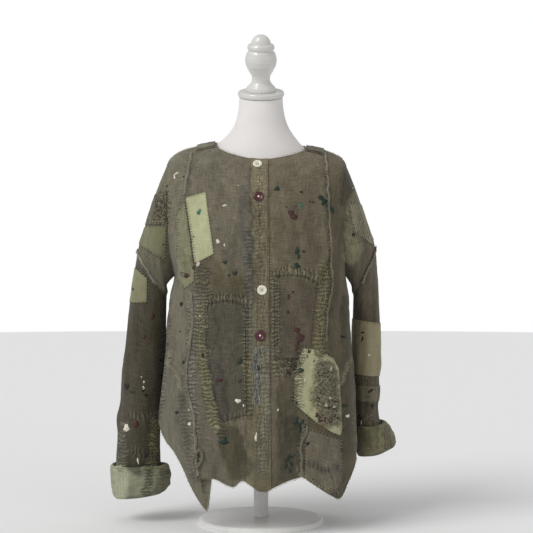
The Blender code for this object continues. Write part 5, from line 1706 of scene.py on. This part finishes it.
def paint_drop(drops, across, down, wide, tall, lean, find, lift=0.35):
    """Adds one drop: a disc with a wandering edge, laid on the cloth."""
    phase = dice.uniform(0, 9)
    spots = bmesh.ops.create_circle(drops, cap_ends=True, segments=DROP_SIDES, radius=1)["verts"]
    face = spots[0].link_faces[0]
    centre = bmesh.ops.poke(drops, faces=[face])["verts"]
    placed = []
    for i, vertex in enumerate(spots + centre):
        x, y = vertex.co.x, vertex.co.y
        turn = math.atan2(y, x)
        rough = 1 + 0.16 * math.sin(3 * turn + phase) + 0.12 * math.sin(5 * turn + 2 * phase)
        rough += dice.uniform(-0.06, 0.06)
        x, y = x * wide * rough, y * tall * rough
        over = x * math.cos(lean) - y * math.sin(lean)
        below = x * math.sin(lean) + y * math.cos(lean)
        placed.append(find(across + over, down + below, lift))
    if not all(placed) or max((a[0] - placed[-1][0]).length for a in placed) > 4 * max(wide, tall) * PIXEL + 6:
        bmesh.ops.delete(drops, geom=spots + centre, context="VERTS")
        return
    layer = drops.verts.layers.float_vector["outward"]
    for vertex, spot in zip(spots + centre, placed):
        vertex.co = spot[0]
        vertex[layer] = spot[1]


BACK_DROPS = {
    "green": [(-60, 610, 3.2, 2.4, 0.4), (84, 330, 2.6, 4.2, 0.2), (20, 180, 3.6, 2.6, 0)],
    "white": [(40, 560, 2.4, 1.6, 0.3), (-90, 420, 2.2, 2.8, 0), (110, 240, 1.4, 3.2, 0.1)],
    "black": [(70, 640, 1.6, 1.4, 0), (-30, 480, 1.2, 1.6, 0), (-120, 300, 2.4, 1.6, 0.4), (10, 350, 1.2, 1.2, 0)],
    "red_brown": [(-20, 700, 2.0, 2.6, 0.2), (120, 480, 2.6, 3.2, 0), (-70, 220, 3.0, 3.4, 0.3)],
}


def on_back_by_pixel(across, down, lift):
    return on_back(across * PIXEL, down * PIXEL, lift)


for name, (colour, drops) in PAINTS.items():
    piece = bmesh.new()
    piece.verts.layers.float_vector.new("outward")
    for drop in drops:
        paint_drop(piece, *drop, on_front)
    for x, z, wide, tall, lean in BACK_DROPS.get(name, []):
        paint_drop(piece, x / PIXEL, z / PIXEL, wide, tall, lean, on_back_by_pixel)
    thicken(piece, 0, DROP_WALL)
    mesh = bpy.data.meshes.new("paint_" + name)
    piece.to_mesh(mesh)
    mesh.transform(Matrix.Scale(MM, 4))
    mesh.shade_smooth()
    mesh.materials.append(paint_material("dried_wall_paint_" + name, colour, 0.55))
    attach(new_object("paint_" + name, mesh), "root")
    print("paint", name, len(drops), "drops,", len(mesh.polygons), "faces")

# %% [markdown]
# ## Buttons
# Two are ivory-coloured casein with four holes and two are dark red with a drop of white paint. A button is a
# turned profile: a rounded rim, a sunk middle and a flat back. The holes are cut, and thread crosses them.

# %% Button material
def button_material(name, colour):
    made, surface = new_material(name, 0.3, {"IOR": 1.5, "Coat Weight": 0.3, "Coat Roughness": 0.15})
    tinted(made, surface, colour, 7, 2.0, 0.85, 1.08, (0, 1))
    return made


CASEIN = {
    "white": button_material("polished_ivory_casein", "#e2dfc9"),
    "red": button_material("polished_dark_red_casein", "#470a1b"),
}

# %% Turned buttons with cut holes
# A button's profile from its front round the rim to its back: share of its radius, and height in millimetres
BUTTON_RIM = [
    (0, 1.4), (0.46, 1.45), (0.56, 1.8), (0.68, 2.6), (0.82, 2.8), (0.94, 2.4), (1.0, 1.6), (0.97, 0.7), (0.84, 0.0),
    (0, 0.0),
]
# Where each button sits on the band, as (sideways, height), and its diameter
BUTTONS = {
    "button_1_white": (-7.3, 782.5, 20.0), "button_2_red": (-4.7, 711.0, 22.5),
    "button_3_white": (2.7, 514.7, 20.5), "button_4_red": (-1.3, 419.4, 23.0),
}


def turned(profile, steps, scale=1.0):
    """A closed turned shape in millimetres from a profile that starts and ends on the axis."""
    shape = bmesh.new()
    line = [shape.verts.new((radius * scale, 0, height)) for radius, height in profile]
    edges = [shape.edges.new(pair) for pair in zip(line, line[1:])]
    bmesh.ops.spin(
        shape, geom=line + edges, cent=(0, 0, 0), axis=(0, 0, 1), angle=2 * math.pi, steps=steps, use_merge=True,
    )
    bmesh.ops.remove_doubles(shape, verts=shape.verts, dist=0.001)
    bmesh.ops.recalc_face_normals(shape, faces=shape.faces)
    return shape


def plain_object(name, shape, material, place=None):
    """Writes a bmesh in millimetres to a smooth object at its place, in metres."""
    if place is not None:
        shape.transform(place)
    mesh = bpy.data.meshes.new(name)
    shape.to_mesh(mesh)
    shape.free()
    mesh.transform(Matrix.Scale(MM, 4))
    mesh.shade_smooth()
    mesh.set_sharp_from_angle(angle=math.radians(40))
    mesh.materials.append(material)
    return new_object(name, mesh)


HOLE_OFFSET = 2.5
HOLE_RADIUS = 0.95


def hole_place(i, height):
    """The middle of one of a button's four holes, at a height above its back."""
    turn = math.pi / 4 + i * RIGHT_ANGLE
    return Vector((HOLE_OFFSET * math.cos(turn), HOLE_OFFSET * math.sin(turn), height))


button_threads = []
for name, (x, z, diameter) in BUTTONS.items():
    low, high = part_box(name)
    middle = (low + high) / 2 / MM
    starts = [Vector((x + dx, -400, z + dz)) for dx in (-8, 0, 8) for dz in (-8, 0, 8)]
    face = sum((OUTER.ray_cast(start, Vector((0, 1, 0)))[1] for start in starts), Vector())
    if face.y > 0:
        face = -face
    place = Matrix.Translation(middle - face.normalized() * 1.2) @ face.to_track_quat("Z", "Y").to_matrix().to_4x4()
    white = "white" in name
    casein = CASEIN["white" if white else "red"]
    made = plain_object(name + "_turned", turned(BUTTON_RIM, 40, diameter / 2), casein, place)
    if white:
        holes = bmesh.new()
        for i in range(4):
            bmesh.ops.create_cone(
                holes, cap_ends=True, segments=12, radius1=HOLE_RADIUS, radius2=HOLE_RADIUS, depth=6,
                matrix=Matrix.Translation(hole_place(i, 1)),
            )
        cutter = plain_object("cutter", holes, CASEIN["white"], place)
        cut = made.modifiers.new("holes", "BOOLEAN")
        cut.object, cut.operation, cut.solver = cutter, "DIFFERENCE", "EXACT"
        mesh = bpy.data.meshes.new_from_object(made.evaluated_get(bpy.context.evaluated_depsgraph_get()))
        made.modifiers.clear()
        made.data = mesh
        bpy.data.objects.remove(cutter)
        for a, b in ((0, 1), (2, 3), (0, 3)):
            corners = (a, 0.6), (a, 1.9), (b, 1.9), (b, 0.6)
            button_threads.append([place @ hole_place(i, height) for i, height in corners])
    else:
        knob = turned([(0, 1.1), (0.5, 1.05), (0.85, 0.75), (1, 0), (0, -0.4)], 14, 2.3)
        white_drop = plain_object(name + "_white_drop", knob, CASEIN["white"], place @ Matrix.Translation((0, 0, 1.7)))
        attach(white_drop, "root")
    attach(made, "root")
    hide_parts(name)
threads_object("button_threads", button_threads, 0.35, CREAM)

# %% [markdown]
# ## Dress form
# The torso is padded and covered in white jersey, pulled tight. Its neck ends in a turned wooden cap with a
# finial, both in white gloss lacquer. Post and plate are enamelled steel. The torso is made again with more
# faces so that its outline is smooth.

# %% Form materials
def jersey():
    made, surface = new_material("white_cotton_jersey_cover", 0.75, {"Sheen Weight": 0.15, "Specular IOR Level": 0.3})
    solid = add_node(made, "TexCoord", {}, {})
    knit = add_node(made, "TexNoise", {}, {"Vector": solid.outputs["Object"], "Scale": 1000 / 3, "Detail": 2.0})
    tinted(made, surface, "#e6e2df", 60, 3.0, 0.96, 1.02)
    bump = add_node(made, "Bump", {}, {"Height": knit.outputs["Fac"], "Strength": 0.3, "Distance": 0.4 * MM})
    made.node_tree.links.new(bump.outputs["Normal"], surface.inputs["Normal"])
    return made


def lacquer(name, colour, roughness, coat):
    made, surface = new_material(name, roughness, {"Coat Weight": coat, "Coat Roughness": 0.08, "IOR": 1.5})
    tinted(made, surface, colour, 25, 4.0, 0.95, 1.02)
    return made


JERSEY = jersey()
LACQUER = lacquer("white_gloss_lacquer_on_turned_wood", "#d9d8d4", 0.28, 0.6)
ENAMEL = lacquer("white_enamel_on_steel", "#dfdedb", 0.4, 0.3)

# %% The torso
# Its rings, as (side height, front height, back height, half-width, front depth, back depth)
FORM_COLUMNS = 32
FORM_RINGS = [
    (936, 920.8, 951.2, 47.5, 46.8, 46.8),
    (912, 900, 923, 49, 49, 49),
    (886, 874, 898, 54, 52, 53),
    (865, 848, 880, 63, 56, 56),
    (846, 822, 862, 79, 61, 57),
    (833, 797, 832, 97, 67, 56),
    (825, 775, 812, 122, 82, 65),
    (809, 750, 792, 152, 98, 76),
    (785, 720, 758, 166, 111, 88),
    (750, 690, 718, 171, 120, 98),
    (690, 650, 670, 168, 129, 107),
    (620, 600, 610, 160, 132, 104),
    (550, 545, 548, 150, 118, 92),
    (480, 480, 480, 140, 100, 84),
    (420, 420, 420, 142, 98, 88),
    (350, 350, 350, 156, 106, 106),
    (290, 290, 290, 168, 114, 122),
    (240, 240, 240, 172, 116, 126),
    (216, 216, 216, 170, 114, 124),
    (204, 204, 204, 160, 104, 114),
    (200, 200, 200, 146, 92, 100),
]
# The form's left shoulder is lower, fading in out to DROP_SIDE, below DROP_TOP and above DROP_FOOT
FORM_LEFT_DROP = 10.0
DROP_SIDE = 90.0
DROP_TOP, DROP_TOP_FADE = 870.0, 40.0
DROP_FOOT, DROP_FOOT_FADE = 600.0, 150.0


def clamp(share):
    return min(max(share, 0.0), 1.0)


def form_ring(ring, turn):
    """A point of one ring of the torso."""
    side_height, front_height, back_height, width, front, back = ring
    x = width * math.sin(turn)
    ahead = math.cos(turn)
    z = side_height + ((front_height if ahead > 0 else back_height) - side_height) * abs(ahead)
    share = clamp((DROP_TOP - z) / DROP_TOP_FADE) * clamp((z - DROP_FOOT) / DROP_FOOT_FADE) * clamp(x / DROP_SIDE)
    return Vector((x, -(front if ahead > 0 else back) * ahead, z - FORM_LEFT_DROP * share))


def ring_between(position):
    """A ring between two rings of the table, on a smooth curve."""
    i = min(int(position), len(FORM_RINGS) - 2)
    t = position - i
    rings = [FORM_RINGS[max(0, min(j, len(FORM_RINGS) - 1))] for j in (i - 1, i, i + 1, i + 2)]
    return [
        0.5 * (2 * b + (c - a) * t + (2 * a - 5 * b + 4 * c - d) * t * t + (3 * b - a - 3 * c + d) * t**3)
        for a, b, c, d in zip(*rings)
    ]


columns, rows = FORM_COLUMNS * 3, (len(FORM_RINGS) - 1) * 4
torso, spots = grid_of(columns, rows)
for vertex, (column, row) in spots.items():
    vertex.co = form_ring(ring_between(row / 4), 2 * math.pi * column / columns)
bmesh.ops.remove_doubles(torso, verts=torso.verts, dist=WELD)
bmesh.ops.holes_fill(torso, edges=[edge for edge in torso.edges if edge.is_boundary])
bmesh.ops.recalc_face_normals(torso, faces=torso.faces)
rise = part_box("form_torso")[1].z / MM - max(vertex.co.z for vertex in torso.verts)
bmesh.ops.translate(torso, vec=(0, 0, rise), verts=torso.verts)
made = plain_object("form_torso_cover", torso, JERSEY)
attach(made, "root")
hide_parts("form_torso")
for node, finish in (("neck_cap", LACQUER), ("finial", LACQUER), ("post", ENAMEL), ("base_plate", ENAMEL)):
    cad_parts[node].data.materials.clear()
    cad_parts[node].data.materials.append(finish)

# %% [markdown]
# ## Light and floor
# A shop photographs such a garment in even light from the front, and cuts it out on white. A large soft lamp
# stands to the left of the camera, a weaker one to the right, and the room is bright. The camera sees the room as
# pure white, while the cloth gets about half of that light.

# %% Stage
ROOM_LIGHT = 0.52
floor = bmesh.new()
bmesh.ops.create_circle(floor, cap_ends=True, segments=64, radius=9000)
floor = plain_object("floor", floor, new_material("matt_white_floor", 0.9, {"Base Color": (0.9, 0.9, 0.9, 1)})[0])
world = bpy.data.worlds.new("bright_room")
world.use_nodes = True
room = world.node_tree.nodes["Background"]
room.inputs["Color"].default_value = (1, 1, 1, 1)
seen = world.node_tree.nodes.new("ShaderNodeLightPath")
bright = world.node_tree.nodes.new("ShaderNodeMapRange")
bright.inputs["To Min"].default_value, bright.inputs["To Max"].default_value = ROOM_LIGHT, 1.0
world.node_tree.links.new(seen.outputs["Is Camera Ray"], bright.inputs["Value"])
world.node_tree.links.new(bright.outputs["Result"], room.inputs["Strength"])
bpy.context.scene.world = world
bpy.context.scene.view_settings.view_transform = "Standard"


def big_window(name, comes_from, strength):
    """Soft light from one side, the same everywhere, so the floor stays one pale tone to its far edge."""
    light = bpy.data.lights.new(name, "SUN")
    light.energy, light.angle = strength, math.radians(35)
    new_object(name, light).rotation_euler = Vector(comes_from).to_track_quat("Z", "Y").to_euler()


big_window("key", (-1.9, -1.5, 2.1), 1.55)
big_window("fill", (1.8, -2.0, 0.9), 0.1)

# %% Updating the scene
bpy.context.view_layer.update()
